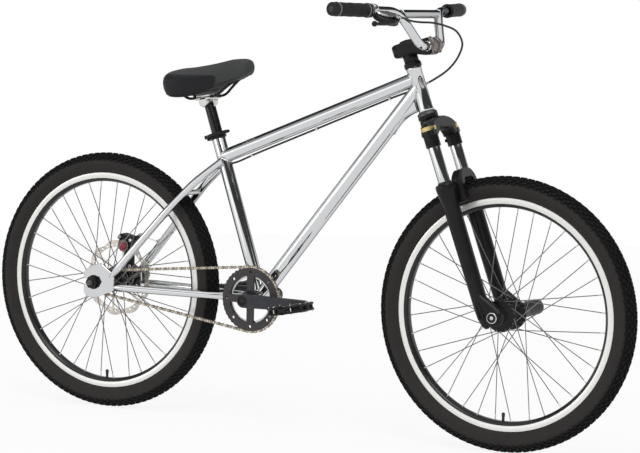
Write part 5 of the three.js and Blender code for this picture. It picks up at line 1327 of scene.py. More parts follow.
def peg(centre, face, bore, name, body, node, paint):
    """A hollow barrel with grooves, open at its outer end."""
    neck = max(14, bore + 3.5)
    skin = Skin(centre)
    profile = [
        (bore, face), (neck - 0.8, face), (neck, face + 0.8), (neck, face + 6), (17.6, face + 8),
        (18.8, face + 9.2), (18.8, face + 16),
    ]
    for groove in range(9):
        start = face + 20 + groove * 9
        profile += [(19, start), (19, start + 6), (18.2, start + 6.6), (18.2, start + 8.2)]
    profile += [
        (19, face + 102), (19, face + 105.5), (17.6, face + 108), (16, face + 108), (15.4, face + 106.5),
        (15.4, face + 15), (bore, face + 15),
    ]
    skin.hoop(profile, 64)
    skin.make(name, body, paint.black, [node], "dark_steel" if bore > 9 else "black_alloy", centre)


class BIKE_OT_axles(bpy.types.Operator):
    """Fits both axles with their nuts and pegs"""

    bl_idname = "bike.axles"
    bl_label = "Axles and pegs"

    def execute(self, context):
        layout, _, paint = bench(context)
        axle = Skin(layout.front)
        axle.lathe([(9.6, -80.2), (10, -79.8), (10, 95), (9.6, 95.4)], 48)
        axle.paint = 1
        axle.hoop([(11.4, -86.3), (12.6, -86.3), (13.4, -85.4), (13.5, -81), (13, -80.4), (11.4, -80.4)], 48)
        axle.paint = 2
        axle.lathe([(2.5, -84.8), (11.6, -84.8), (11.8, -80.5), (2.5, -80.5)], 48)
        axle.paint = 1
        axle.bolt(at(0, -84.6, 0), (0, -1, 0), 4.6, 1.4)
        axle.make(
            "front_axle_bolt", "fork_lowers", [paint.dark_steel, paint.steel, paint.black], ["front_axle"],
            "dark_steel", layout.front,
        )
        peg(layout.front, 80.3, 10.3, "front_foot_peg", "fork_lowers", "front_peg", paint)

        axle = Skin(layout.rear)
        axle.lathe([(5.8, -94.6), (6.8, -93.4), (6.8, 85), (6, 86)], 32)
        for low, high in ((-63.6, -53.4), (50.4, 63.6)):
            axle.hoop([(7, low), (10, low), (10.4, low + 0.6), (10.4, high - 0.6), (10, high), (7, high)], 32)
        axle.paint = 1
        axle.hoop([(7.1, -72.6), (18.6, -72.6), (18.6, -71), (18, -70.4), (7.1, -70.4)], 48)
        axle.nut(at(0, -72.6, 0), (0, -1, 0), 16.6, 12.6)
        axle.paint = 0
        for row in range(18):
            y = row * 0.5 - 93
            axle.hoop([(6.7, y - 0.2), (7.1, y), (6.7, y + 0.2)], 24, Matrix.Rotation(TURN * row / 18, 4, "Y"))
        axle.make(
            "rear_axle_and_nut", "frame", [paint.dark_steel, paint.black], ["rear_axle"], "dark_steel", layout.rear,
        )
        peg(layout.rear, 70.3, 7.3, "rear_foot_peg", "frame", "rear_peg", paint)
        return {"FINISHED"}


# Wheels


def hub(name, centre, start, end, flange, place, core, paint):
    """A hub with two dished flanges between its ends."""
    dish = [
        (flange - 9, 2.6), (flange - 7, 1.8), (flange - 1, 1.7), (flange, 0.9), (flange, -0.9),
        (flange - 1, -1.7), (flange - 8, -2.2), (core + 3, -5), (core, -10),
    ]
    right = [(radius, -place - out) for radius, out in dish]
    left = [(radius, place + out) for radius, out in reversed(dish)]
    hub = Skin(centre).hoop(start + right + [(core - 1, 0)] + left + end, 72)
    hub.make(name + "_hub_shell", name + "_wheel", paint.black, [name + "_hub"], "black_alloy", centre)


def rim(name, centre, sizes, paint):
    """A hoop with bright walls and a dark bed, and the stem of the inner tube."""
    skin = Skin(centre)
    inner, outer, half = sizes.rim_inner, sizes.rim_outer, sizes.rim_width / 2
    side = [
        (inner, 7), (inner + 0.8, 9), (inner + 5.6, half - 0.8), (inner + 7, half), (inner + 9, half),
        (inner + 9.5, half - 0.35), (inner + 10, half), (outer - 1.4, half), (outer - 0.3, half - 0.5),
        (outer, half - 1.3), (outer - 0.9, half - 2), (outer - 7.6, half - 2.1), (outer - 8, half - 3),
    ]
    profile = side + [(radius, -y) for radius, y in reversed(side)]
    sides, rows = 144, len(profile)
    skin.hoop(profile, sides)
    bright = [4 <= row <= 8 or 4 <= rows - 2 - row <= 8 for row in range(rows)]
    skin.paints = [0 if wall else 3 for wall in bright for _ in range(sides)]
    skin.paint = 2
    skin.rod(at(0, 0, -outer + 4), at(0, 0, 44 - outer), 3.8, 3.4, 16)
    skin.lathe([(1.6, 0), (4.2, 0.5), (4.4, 8), (3.4, 10), (1, 11)], 18, turned_to(at(0, 0, 34 - outer), (0, 0, 1)))
    finishes = [paint.rim, paint.steel, paint.plastic, paint.rim_black]
    skin.make(name + "_rim_hoop", name + "_wheel", finishes, [name + "_rim"], "polished_alloy", centre)


def tyre(name, centre, sizes, radius, paint):
    """A casing of tread and side walls with its rows of blocks."""
    skin = Skin(centre)
    outer = sizes.rim_outer
    crown = radius - sizes.knob
    middle, width = (outer + crown) / 2 + 0.5, 26.2
    profile, walls = [], []
    for degrees in range(-126, 127, 9):
        angle = radians(degrees)
        profile.append((middle + (crown - middle) * cos(angle), width * sin(angle)))
        walls.append(1 if abs(degrees + 4.5) > 60 else 0)
    profile += [(outer + 2.4, 15.2), (outer + 0.6, 13.6), (outer - 3, 12.6), (outer - 5, 11), (outer - 5, -11)]
    profile += [(outer - 3, -12.6), (outer + 0.6, -13.6), (outer + 2.4, -15.2)]
    walls += [1] * (len(profile) - len(walls))
    sides = 160
    skin.hoop(profile, sides)
    skin.paints = [wall for wall in walls for _ in range(sides)]
    count = sizes.knob_rows
    rows = [
        (0, 0.0, 6.6, 5.6, 1.0), (17.5, 0.5, 5.2, 5.0, 1.0), (34, 0.0, 5.0, 5.6, 1.0),
        (50, 0.5, 5.0, 5.2, 1.0), (64, 0.0, 4.2, 6.8, 0.8),
    ]
    for degrees, shift, across, along, share in rows:
        for sign in (1, -1) if degrees else (1,):
            tilt = radians(degrees * sign)
            for i in range(count):
                turn = TURN * (i + shift) / count
                grow = 1.12 if (i + (sign > 0)) % 2 else 0.9
                knob(skin, turn, tilt, (middle, crown, width), across * grow, along, sizes.knob * share)
    nodes = [name + "_tyre", name + "_inner_tube"]
    finishes = [paint.tread, paint.wall]
    skin.make(name + "_tyre_casing", name + "_wheel", finishes, nodes, "tyre_rubber", centre, 32)


def knob(skin, turn, tilt, section, across, along, height):
    """One tread block, standing square on the casing."""
    middle, crown, width = section
    normal = Vector((cos(tilt) / (crown - middle), sin(tilt) / width)).normalized()
    base = Vector((middle + (crown - middle) * cos(tilt), width * sin(tilt)))
    tangent = Vector((-normal.y, normal.x))
    points = []
    for rise, shrink in ((-1.2, 1.0), (height * 0.8, 0.9), (height, 0.72)):
        for u, v in ((-1, -1), (1, -1), (1, 1), (-1, 1)):
            spot = base + normal * rise + tangent * (across / 2 * u * shrink)
            swing = turn + along * v * shrink / spot.x
            points.append(at(spot.x * cos(swing), spot.y, spot.x * sin(swing)))
    skin.paint = 0
    skin.add(points, [(0, 1, 2, 3), (8, 9, 10, 11), *band(0, 4, 4), *band(4, 8, 4)])


def spokes(name, centre, sizes, flange, place, side, hand, paint):
    """The crossed spokes of one flange with their nipples."""
    skin = Skin(centre)
    count = sizes.spoke_count // 2
    step = TURN / count
    shift = step / 4 if side > 0 else 3 * step / 4
    hole, reach = flange - 3.4, sizes.rim_inner + 0.5
    for i in range(count):
        sense = -1 if i % 2 else 1
        inside = 2.1 if i % 2 else -1.9
        here, there = i * step + shift, i * step + shift + sense * 3 * step
        start = at(hole * cos(here), side * (place + inside), hole * sin(here))
        end = at(reach * cos(there), side * 4, reach * sin(there))
        way = (end - start).normalized()
        elbow = start - at(0, side * inside * 1.7, 0)
        skin.paint = 0
        skin.tube([elbow, start.lerp(elbow, 0.4), start, start + way * 2], sizes.spoke, 8)
        skin.tube([start, end - way * 4], sizes.spoke, 8)
        skin.ball(elbow, 1.7, 0.5)
        skin.paint = 1
        skin.rod(end - way * 13, end, 1.55, 2.0, 10, 0.3)
    finishes = [paint.spoke, paint.steel]
    skin.make(f"{name}_spoke_set_{hand}", name + "_wheel", finishes, [f"{name}_spokes_{hand}"], "dark_steel", centre)


class BIKE_OT_wheels(bpy.types.Operator):
    """Builds both wheels"""

    bl_idname = "bike.wheels"
    bl_label = "Wheels"

    def execute(self, context):
        layout, sizes, paint = bench(context, "wheels")
        radius = Millimetres(context.scene.dirt_jump_bike.layout).wheel_radius
        for name, centre, flange, place in (("front", layout.front, 40, 32), ("rear", layout.rear, 31, 28)):
            rim(name, centre, sizes, paint)
            tyre(name, centre, sizes, radius, paint)
            for side, hand in SIDES:
                spokes(name, centre, sizes, flange, place, side, hand, paint)
        end = [(10.3, -54.5), (11.6, -54.6), (12.2, -53.8), (14, -44), (18, -38)]
        hub("front", layout.front, end, [(radius, -y) for radius, y in reversed(end)], 40, 32, 25, paint)
        start = [(7.3, -52.8), (13.8, -52.8), (14.5, -52), (14.5, -36)]
        end = [(26, 33.4), (25.6, 44), (17, 46.5), (17, 49.5), (16.4, 50.2), (7.3, 50.2)]
        hub("rear", layout.rear, start, end, 31, 28, 19, paint)
        return {"FINISHED"}


# Cockpit


LEVER_BAND = 145.99


def stem(layout, paint):
    """The stem with its spacer, cap and bolts, and the plate that closes it."""
    x, z = layout.bar_centre.x, layout.bar_centre.z
    stem = Skin(layout.steer)
    outline = [(x + 7, z + 20.6), (x - 9, z + 21.2), (14, 711.6), (-27, 711.9), (-34, 706), (-34, 684), (-28, 677.9)]
    outline += [(12, 677.9), (30, 671), (x - 12, z - 19.5), (x, z - 21.7), (x + 7, z - 20.6)]
    stem.plate(rounded(outline, 3.5, 3), -23.5, 23.5, 5)
    stem.hoop([(14.9, 661.2), (18, 661.2), (18.5, 661.9), (18.5, 677.2), (18, 677.9), (14.9, 677.9)], 64, UP)
    stem.lathe([(3, 711.9), (16.4, 711.9), (16.8, 712.8), (15.4, 715.4), (3, 716)], 56, UP)
    stem.bolt(at(0, 0, 715.8), (0, 0, 1), 5, 1.6)
    for height in (685, 705):
        stem.bolt(at(-26, -23, height), (0, -1, 0), 4.2, 3)
        stem.bolt(at(-26, 23, height), (0, 1, 0), 4.2, 1.6)
    stem.make("stem_body", "steering", paint.black, ["stem"], "black_alloy")
    plate = Skin(layout.steer)
    outer, lean = 22.4, radians(68)
    for low, high in ((-23.5, -8), (8, 23.5)):
        plate.plate(arc((x + 0.4, z), outer, -lean, 2 * lean, 24), low, high, 2)
    plate.plate(arc((x + 0.4, z), outer - 3.4, -lean, 2 * lean, 24), -9, 9, 1)
    plate.paint = 1
    for y in (-16.5, 16.5):
        for rise in (-17.2, 17.2):
            plate.bolt(at(x + 12.6, y, z + rise), (1, 0, 0), 4, 2.4)
    plate.make("clamp_plate", "steering", [paint.faceplate, paint.dark_steel], ["stem_faceplate"], "crank_steel")


def bars(layout, sizes, paint):
    """The bent bar with its welded crossbar and its thicker clamp section."""
    left, right = layout.bar_corners(1), layout.bar_corners(-1)
    corners = [right[3], right[2], right[1], left[1], left[2], left[3]]
    bars = Skin(layout.steer)
    bars.tube(bent_line(corners, [38, 16, 16, 38], 16), sizes.bar, 40)
    ends = [corner[1].lerp(corner[2], 1 - 6 / 90) for corner in (right, left)]
    walls = [((corner[1], corner[2]), sizes.bar) for corner in (right, left)]
    bars.tube([ends[0], ends[0].lerp(ends[1], 0.5), ends[1]], sizes.crossbar, 40, walls=walls)
    for end, other, wall in ((*ends, walls[0]), (*reversed(ends), walls[1])):
        way = (other - end).normalized()
        side = way.cross(at(0, 0, 1)).normalized()
        bars.seam(end, way, side, side.cross(way), sizes.crossbar, wall, 1.4, 22, 96)
    bars.lathe(mirrored([(11.2, -25), (12.7, -23.4)]), 64, layout.bar_centre)
    bars.make("plated_bars", "steering", paint.chrome, ["handlebar"], "chrome_plate")


def grip(layout, sizes, paint, side, hand):
    """A knurled grip between two smooth collars, with a plug in its end."""
    place = layout.bar_end(side)
    skin = Skin(place)
    bore, body, reach = sizes.bar + 0.3, sizes.grip, sizes.grip_length + (14 if side > 0 else 0)

    def turned(profile, foot=0, lathe=skin.hoop):
        lathe([(radius, -side * (foot + inward)) for radius, inward in profile], 72)

    rubber = [(bore, 17), (body - 0.3, 17), (body, 19)]
    rubber += [(body + 0.3 * sin(k * 0.9), 21 + k * (reach - 32) / 20) for k in range(21)]
    turned(rubber + [(body, reach - 9), (bore, reach - 8)])
    plug = [(2, -4.2), (body - 3.5, -4.3), (body - 0.6, -2.8), (body, 0), (body + 0.2, 12), (2, 12)]
    turned(plug, lathe=skin.lathe)
    turned([(bore, -4.4), (body + 0.4, -4.4), (body + 1.4, -3), (body + 1.2, 0), (bore, 0)], reach)
    skin.paint = 1
    outer = [(bore, 12.2), (body + 0.5, 12.4), (body + 0.9, 13.4), (body + 0.9, 15.8), (body + 0.5, 16.8), (bore, 17)]
    turned(outer)
    turned([(bore, -8), (body + 0.3, -7.8), (body + 0.8, -6.8), (body + 0.8, -5), (bore, -4.6)], reach)
    skin.paint = 2
    turned([(1, -4.9), (7, -4.9), (7.6, -4.1), (1, -4.1)], lathe=skin.lathe)
    finishes = [paint.grip, paint.collar, paint.plastic]
    skin.make("rubber_grip_" + hand, "steering", finishes, ["grip_" + hand], "grip_rubber", place)


def lever(layout, sizes, paint):
    """The perch with its barrel adjuster, and the long blade with a ball on its tip."""
    place = layout.lever @ placed(at(0, LEVER_BAND, 0))
    perch = Skin(place)
    perch.hoop(mirrored([(11.4, -7.3), (16.4, -7.5), (17, -6.7)]), 56)
    body = rounded([(12, -7), (26, -7), (45, 14), (45, 44), (39, 52), (24, 52), (15, 30)], 5, 4)
    perch.plate(body, 1.6, 8.4, 2.6, plane="XY")
    perch.paint = 2
    deep = [(12, -8), (30, -12), (58, 8), (60, 36), (48, 52), (22, 52), (14, 30)]
    perch.plate(rounded(deep, 7, 4), -13, 2, 3.4, plane="XY")
    for low, high in ((-7.5, -5.1), (5.1, 7.5)):
        perch.plate(link_outline((20, 36), 6.5, (52, 36), 7.4, 10), low, high, 0.7, plane="XY")
    perch.bolt(at(-16, 0, 0), (-1, 0, 0), 3.8, 3)
    perch.paint = 1
    perch.rod(at(52, 36, -8.2), at(52, 36, 8.2), 3.4, sides=24)
    perch.bolt(at(52, 36, 8), (0, 0, 1), 4.4, 1.4)
    barrel = [(2.7, 51), (4, 51), (4, 56), (5, 57), (5, 65), (4.2, 66.6), (2.7, 66.8)]
    perch.hoop(barrel, 20, at(31.2, 0, 0))
    finishes = [paint.alloy, paint.steel, paint.black]
    perch.make("lever_perch", "steering", finishes, ["brake_lever_perch"], "polished_alloy")
    blade = Skin(place)
    shares = [
        (0, 0), (0.09, 0.25), (0.18, 0.5), (0.3, 0.68), (0.42, 0.8), (0.56, 0.89), (0.7, 0.95), (0.85, 0.985),
        (0.97, 1),
    ]
    line = [at(52 + 21 * flare, 36 - sizes.lever_length * share, 0) for share, flare in shares]
    spans = [(5.6 - 1.6 * share, 4.2 - 0.8 * share) for share, _ in shares]
    blade.rings(blade_rings(line, spans, 0.7, 24))
    blade.hoop(mirrored([(3.6, -4.2), (6.2, -4.2), (6.8, -3.4)]), 32, placed(at(52, 36, 0)) @ UP)
    blade.ball(line[-1] + at(0, -2, 0), 7)
    blade.make("lever_blade", "brake_lever", paint.black, ["brake_lever"], "black_alloy")


class BIKE_OT_cockpit(bpy.types.Operator):
    """Builds the stem, the bars, the grips and the brake lever"""

    bl_idname = "bike.cockpit"
    bl_label = "Cockpit"

    def execute(self, context):
        layout, sizes, paint = bench(context, "cockpit")
        stem(layout, paint)
        bars(layout, sizes, paint)
        for side, hand in SIDES:
            grip(layout, sizes, paint, side, hand)
        lever(layout, sizes, paint)
        return {"FINISHED"}


# Drive


# The sides of a tooth from valley to valley: share of the pitch, and height.
TOOTH = [(-0.5, -1), (-0.36, -0.92), (-0.27, -0.55), (-0.19, 0.2), (-0.1, 0.85), (0, 1)]
TOOTH += [(-share, height) for share, height in TOOTH[-2:0:-1]]


def pitch_radius(pitch, teeth):
    return pitch / 2 / sin(pi / teeth)


def teeth_outline(pitch, teeth, depth, reach):
    """The outline of a sprocket: round valleys between blunt teeth."""
    radius = pitch_radius(pitch, teeth)
    return [
        polar(radius + (reach if height > 0 else depth) * height, TURN * (i + share) / teeth)
        for i in range(teeth)
        for share, height in TOOTH
    ]


def ring(layout, sizes, paint):
    """A steel ring with four arms and a row of small holes."""
    ring = Skin(layout.bracket)
    y = -sizes.chain_line
    body = pitch_radius(sizes.pitch, sizes.ring_teeth) - 4.3
    holes = [circle(9.9, 40)] + [circle(3.9, 20, polar(body - 9, angle)) for angle in turns(8)]
    outer, inner = asin(10 / (body - 18)), asin(10 / 26)
    for start in turns(4):
        window = arc((0, 0), body - 18, start + outer, TURN / 4 - 2 * outer, 20)
        window += arc((0, 0), 26, start + TURN / 4 - inner, 2 * inner - TURN / 4, 10)
        holes.append(rounded(window, 2.6, 2))
    ring.plate(teeth_outline(sizes.pitch, sizes.ring_teeth, 4.2, 0.8), y - 1.5, y + 1.5, 0.45, holes)
    ring.plate(circle(81, 160), y - 4.4, y - 2.2, 0.5, holes[1:] + [circle(21.6, 48)])
    ring.paint = 2
    ring.plate(circle(61.5, 120), y + 1.6, y + 3, 0.3, [circle(55.5, 120)])
    ring.paint = 1
    ring.hoop([(10, y - 3.4), (20, y - 3.4), (21.5, y - 2.2), (21.5, y + 2), (10, y + 2)], 64)
    ring.make(
        "chainring_plate", "crankset", [paint.ring, paint.crank, paint.alloy], ["chainring"], "ring_alloy",
        layout.bracket,
    )


def cog(layout, sizes, paint):
    """The small sprocket on its body, with four pins."""
    cog = Skin(layout.rear)
    y = -sizes.chain_line
    outline = teeth_outline(sizes.pitch, sizes.cog_teeth, 4.2, 2.0)
    cog.plate(outline, y - 1.5, y + 1.5, 0.4, [circle(15, 40)])
    cog.paint = 1
    cog.hoop(
        [(14.9, y - 6), (19.6, y - 6), (20.4, y - 5.2), (21, y - 2), (21, y + 5.2), (20, y + 6), (14.9, y + 6)], 56,
    )
    for i in range(4):
        angle = TURN * (i + 0.5) / 4
        cog.rod(
            at(18 * cos(angle), y - 6.4, 18 * sin(angle)), at(18 * cos(angle), y - 5, 18 * sin(angle)), 1.5, sides=12,
            edge=0.2,
        )
    cog.make(
        "freewheel_and_teeth", "freewheel", [paint.chain, paint.dark_steel], ["freewheel_cog"], "dark_steel",
        layout.rear,
    )


def chain(layout, sizes, paint):
    """Inner and outer links in turn, round the cog and the ring."""
    small, big = (pitch_radius(sizes.pitch, teeth) for teeth in (sizes.cog_teeth, sizes.ring_teeth))
    rear, front = (layout.rear.x, layout.rear.z), (layout.bracket.x, layout.bracket.z)
    loop = [Vector(spot) for spot in link_outline(rear, small, front, big, 60)]
    loop.append(loop[0])
    count = round(line_marks(loop)[-1] / sizes.pitch / 2) * 2
    pins = spaced(loop, [(i + 0.35) / count for i in range(count)])
    half = [(-0.8, 1.6), (-0.66, 3.1), (-0.5, 3.75), (-0.3, 3.3), (0, 2.5)]
    waist = half + [(-share, wide) for share, wide in half[-2::-1]]
    chain = Skin()
    for i, pin in enumerate(pins):
        after = pins[(i + 1) % count]
        middle = (pin + after) / 2
        way = (after - pin).normalized()
        across = Vector((-way.y, way.x))
        outer = i % 2
        shape = [middle + way * (share * 12.7) + across * wide for share, wide in waist]
        shape += [spot - across * 2 * (spot - middle).dot(across) for spot in reversed(shape)]
        outline = [tuple(spot) for spot in shape]
        chain.paint = outer
        for side in (-1, 1):
            near = 2.95 if outer else 2.0
            faces = sorted((-47 + side * near, -47 + side * (near + 0.85)))
            chain.plate(outline, *faces, 0.18)
        chain.paint = 1
        chain.lathe([(3.8, -48.8), (3.8, -45.2)], 14, at(pin.x, 0, pin.y))
        chain.paint = 2
        chain.lathe([(1.2, -51.15), (1.75, -50.9), (1.75, -43.1), (1.2, -42.85)], 12, at(pin.x, 0, pin.y))
    chain.make("chain_links", "frame", [paint.chain, paint.dark_chain, paint.steel], ["chain"], "chain_steel")


def crank(layout, paint, side, hand, reach):
    """A tapered arm with its boss, its pinch bolts and the pedal axle."""
    crank = Skin(layout.bracket)
    crank.plate(link_outline((0, 0), 17.6, (reach, 0), 14.6, 18), *sorted((side * 76, side * 91)), 3)
    foot, lip = (37.2, 38.4) if side > 0 else (-49.2, -50.5)
    crank.hoop([(10, foot), (17, foot), (18, lip), (18, side * 78), (10, side * 78)], 56)
    crank.rod(at(reach, side * 75.8, 0), at(reach, side * 198, 0), 5.6, sides=28)
    nut = [(6, 91), (9, 91), (9.4, 92), (9.4, 101), (9, 102), (6, 102)]
    crank.hoop([(radius, side * y) for radius, y in nut], 6, at(reach, 0, 0))
    for y in (58, 69):
        crank.bolt(at(-6 if reach > 0 else 6, side * y, 16.6), (0, 0, 1), 3.6, 2.2)
    crank.paint = 1
    washer = [(9.8, 90.4), (13.2, 90.4), (13.2, 92), (12.4, 92.6), (9.8, 92.4)]
    crank.hoop([(radius, side * y) for radius, y in washer], 48)
    plug = [(3.4, 88), (9.7, 88), (9.7, 91.2), (8.8, 91.8), (3.4, 91.8)]
    crank.hoop([(radius, side * y) for radius, y in plug], 40)
    if side > 0:
        crank.rod(at(0, -88, 0), at(0, 89, 0), 9.5, sides=40)
    finishes = [paint.crank, paint.black]
    crank.make("crank_" + hand, "crankset", finishes, ["crank_arm_" + hand], "crank_steel", layout.bracket)


def pedal(layout, sizes, paint, side, hand, reach):
    """A platform with a ribbed barrel and screwed pins."""
    centre = layout.bracket + at(reach, 0, 0)
    turn = Matrix.Rotation(radians(-11), 4, "Y")
    pedal = Skin(placed(centre) @ turn @ placed(at(0, side * 105, 0)))
    long, half, width = sizes.pedal_length, sizes.pedal_length / 2, sizes.pedal_width
    xs = (-0.5, -0.5, -0.3, 0.3, 0.5, 0.5, 0.3, -0.3)
    ys = (0.14, 0.86, 1, 1, 0.86, 0.14, 0, 0)
    outline = rounded([(x * long, side * y * width) for x, y in zip(xs, ys)], 7, 4)
    holes = []
    for way in (-1, 1):
        hole = [(way * 9.5, 12), (way * (half - 11), 17), (way * (half - 11), width - 17), (way * 9.5, width - 12)]
        holes.append(rounded([(x, side * y) for x, y in hole], 5, 4))
    for low, high in ((-10, -4.5), (4.5, 10)):
        pedal.plate(outline, low, high, 1.4, holes, plane="XY")
    for x in (-0.43, -0.22, 0.22, 0.43):
        for share in (0.09, 0.91) if abs(x) < 0.3 else (0.2, 0.5, 0.8):
            post = at(x * long, side * share * width, 0)
            pedal.rod(post - at(0, 0, 6), post + at(0, 0, 6), 4.6, sides=20)
    for way in (-1, 1):
        near, far = way * 8, way * (half - 9)
        for y in (side * width * 0.34, side * width * 0.66):
            rib = [(near, y - 2.2), (far, y - 2.2), (far, y + 2.2), (near, y + 2.2)]
            pedal.plate(rib, -5.4, 5.4, 0.8, plane="XY")
    barrel = [(6.4, 0), (10.2, 0), (11, 1), (11, 12), (9.6, 18), (9.6, 76), (11, 82), (11, 93), (10, 94)]
    pedal.hoop([(radius, side * y) for radius, y in barrel + [(2, 94), (2, 89), (6.4, 89)]], 40)
    pedal.paint = 1
    pins = [(x, y) for x in (-0.45, 0.45) for y in (0.2, 0.5, 0.8)]
    pins += [(x, y) for x in (-0.24, 0.24) for y in (0.055, 0.945)]
    for x, y in pins:
        spot = at(x * long, side * y * width, 0)
        pedal.rod(spot - at(0, 0, 12.4), spot + at(0, 0, 12.4), 1.7, sides=10, edge=0.5)
    pedal.make(
        "platform_" + hand, "pedal_" + hand, [paint.black, paint.steel], ["pedal_" + hand], "black_alloy", centre,
    )


class BIKE_OT_drive(bpy.types.Operator):
    """Builds the chainring, the chain, the cog, the cranks and the pedals"""

    bl_idname = "bike.drive"
    bl_label = "Drive"

    def execute(self, context):
        layout, sizes, paint = bench(context, "drive")
        ring(layout, sizes, paint)
        cog(layout, sizes, paint)
        chain(layout, sizes, paint)
        for side, hand, reach in ((-1, "right", sizes.crank), (1, "left", -sizes.crank)):
            crank(layout, paint, side, hand, reach)
            pedal(layout, sizes, paint, side, hand, reach)
        return {"FINISHED"}


# Brake


def caliper(layout, paint):
    """The body on its mount, the arm with the inner wire, and the adjuster dial."""
    place = layout.caliper
    body = Skin(place)
    shape = [(76, -21), (80, -27), (113, -27), (121, -18), (121, 18), (113, 27), (80, 27), (76, 21)]
    body.plate(rounded([(78, -13), (92, -21), (116, -16), (116, 16), (92, 21), (78, 13)], 7, 5), 38, 46.8, 2.4)
    body.plate(rounded(shape, 7, 5), 51.2, 70.8, 3)
    bridge = [(103.4, -26), (113, -26), (120.5, -17), (120.5, 17), (113, 26), (103.4, 26)]
    body.plate(rounded(bridge, 3, 3), 40, 66, 1)
    body.plate(link_outline((38.6, -21), 12, (91.5, 0), 20, 14), 57.8, 63.6, 1)
    body.lathe([(3, 64), (21, 64), (22.5, 66), (22.5, 70), (3, 71)], 40, at(91.5, 0, 0))
    body.paint = 1
    for along in (-17, 17):
        body.bolt(at(112, 70.4, along), (0, 1, 0), 4.4, 2.6)
        body.bolt(at(112, 37.2, along), (0, -1, 0), 4.4, 2)
    body.bolt(at(38.6, 57.8, -21), (0, -1, 0), 5, 3)
    body.paint = 2
    for low in (47.1, 50.3):
        body.plate(rounded([(80, -14), (101, -14), (101, 14), (80, 14)], 3, 3), low, low + 0.6, 0.2)
    body.make("caliper_body", "frame", [paint.black, paint.steel, paint.chain], ["brake_caliper"], "black_alloy")
    arm = Skin(place)
    arm.plate(link_outline((91.5, 0), 11.4, (125.9, -23.9), 5.7, 14), 71.4, 76.2, 1)
    arm.paint = 1
    arm.bolt(at(91.5, 76.2, 0), (0, 1, 0), 7.5, 1.8)
    arm.bolt(at(125.9, 76, -23.9), (0, 1, 0), 3.6, 2.2)
    arm.make("caliper_lever", "caliper_arm", [paint.alloy, paint.steel], ["brake_caliper_arm"], "polished_alloy")
    wire = Skin()
    tip = place @ at(125.9, 77, -23.9)
    housing = rear_cable_points()[-1]
    wire.tube([tip - (housing - tip).normalized() * 5, tip, housing + (tip - housing).normalized() * 1.5], 0.9, 8)
    wire.make("inner_wire", "caliper_arm", paint.steel)
    knob = Skin(place @ placed(at(91.5, 0, 0)))
    knob.plate(lobed(11.4, 1.3, 16, 96), 30.4, 36.6, 0.8)
    knob.lathe([(0.5, 29.8), (7.4, 29.8), (8.2, 30.3), (8.2, 31.4), (0.5, 31.4)], 40)
    knob.paint = 1
    knob.plate(lobed(16.4, 1.8, 12, 120), 34.4, 36.2, 0.4, [circle(9, 40)])
    knob.make("adjuster_dial", "adjuster_knob", [paint.red, paint.faceplate], ["brake_adjuster_knob"], "red_plastic")


class BIKE_OT_brake(bpy.types.Operator):
    """Builds the rotor, the caliper, its arm and its adjuster"""

    bl_idname = "bike.brake"
    bl_label = "Rear brake"

    def execute(self, context):
        layout, sizes, paint = bench(context, "wheels")
        outer = sizes.rotor
        rotor = Skin(layout.rear)
        holes = [circle(17.4, 40)]
        lean = 0.34
        for start in turns(6):
            far = arc((0, 0), outer - 17.5, start + 0.035 + lean, TURN / 6 - 0.07, 12)
            near = arc((0, 0), 28.5, start + TURN / 6 - 0.1, 0.2 - TURN / 6, 8)
            holes.append(rounded(far + near, 3, 2))
            holes.append(circle(2.4, 14, polar(22.4, start)))
        for i in range(36):
            middle = TURN * (i + 0.5) / 36
            slot = ((-15, -0.062), (-9, -0.012), (-9, 0.05), (-15, 0.0))
            holes.append(rounded([polar(outer + reach, middle + turn) for reach, turn in slot], 1.6, 2))
        rotor.plate(lobed(outer, 7, 9, 360, 1.5), 48, 50, 0.25, holes)
        rotor.paint = 1
        for x, z in (polar(22.4, angle) for angle in turns(6)):
            rotor.bolt(at(x, 50, z), (0, 1, 0), 4, 2)
            rotor.bolt(at(x, 48, z), (0, -1, 0), 2.8, 1)
        finishes = [paint.rotor, paint.dark_steel]
        rotor.make("rotor_disc", "rear_wheel", finishes, ["brake_rotor"], "rotor_steel", layout.rear)
        caliper(layout, paint)
        return {"FINISHED"}


# Seat


def clamp(layout, paint):
    """The head of the post, which holds the rails, and the rails themselves."""
    clamp = Skin(layout.rails)
    clamp.lathe(mirrored([(3, -29), (11.6, -29), (12.4, -28), (12.4, -12), (11, -10)]), 48, at(0, 0, -6.25))
    clamp.plate(rounded([(-23, -29), (23, -29), (23, 29), (-23, 29)], 6, 5), -0.4, 5.2, 1, plane="XY")
    clamp.plate(rounded([(-21, -28), (21, -28), (21, 28), (-21, 28)], 6, 5), 6.6, 12.4, 1, plane="XY")
    clamp.paint = 1
    for x in (-15, 15):
        clamp.rod(at(x, 0, -18), at(x, 0, 14), 3, sides=20)
        clamp.bolt(at(x, 0, -15), (0, 0, -1), 4.6, 4)
    clamp.make("rail_clamp", "seatpost", [paint.alloy, paint.steel], ["seatpost_clamp"], "polished_alloy")
    rails = Skin(layout.rails)
    xs, zs, ys = (-0.34, -0.29, -0.2, 0.165, 0.27, 0.4), (0.62, 0.4, 0, 0, 0.3, 0.6), (1.25, 1.15, 1, 1, 0.75, 0.35)
    lines = []
    for side in (-1, 1):
        corners = [at(x * 241, side * 22 * y, 6 + z * 62) for x, z, y in zip(xs, zs, ys)]
        lines.append(bent_line(corners, [6, 14, 14, 12], 8))
        rails.tube(lines[-1], 3.5, 20)
    rails.tube([lines[0][-1], lines[0][-1].lerp(lines[1][-1], 0.5), lines[1][-1]], 3.5, 20)
    rails.make("saddle_wires", "seatpost", paint.black, ["saddle_rails"], "black_alloy")


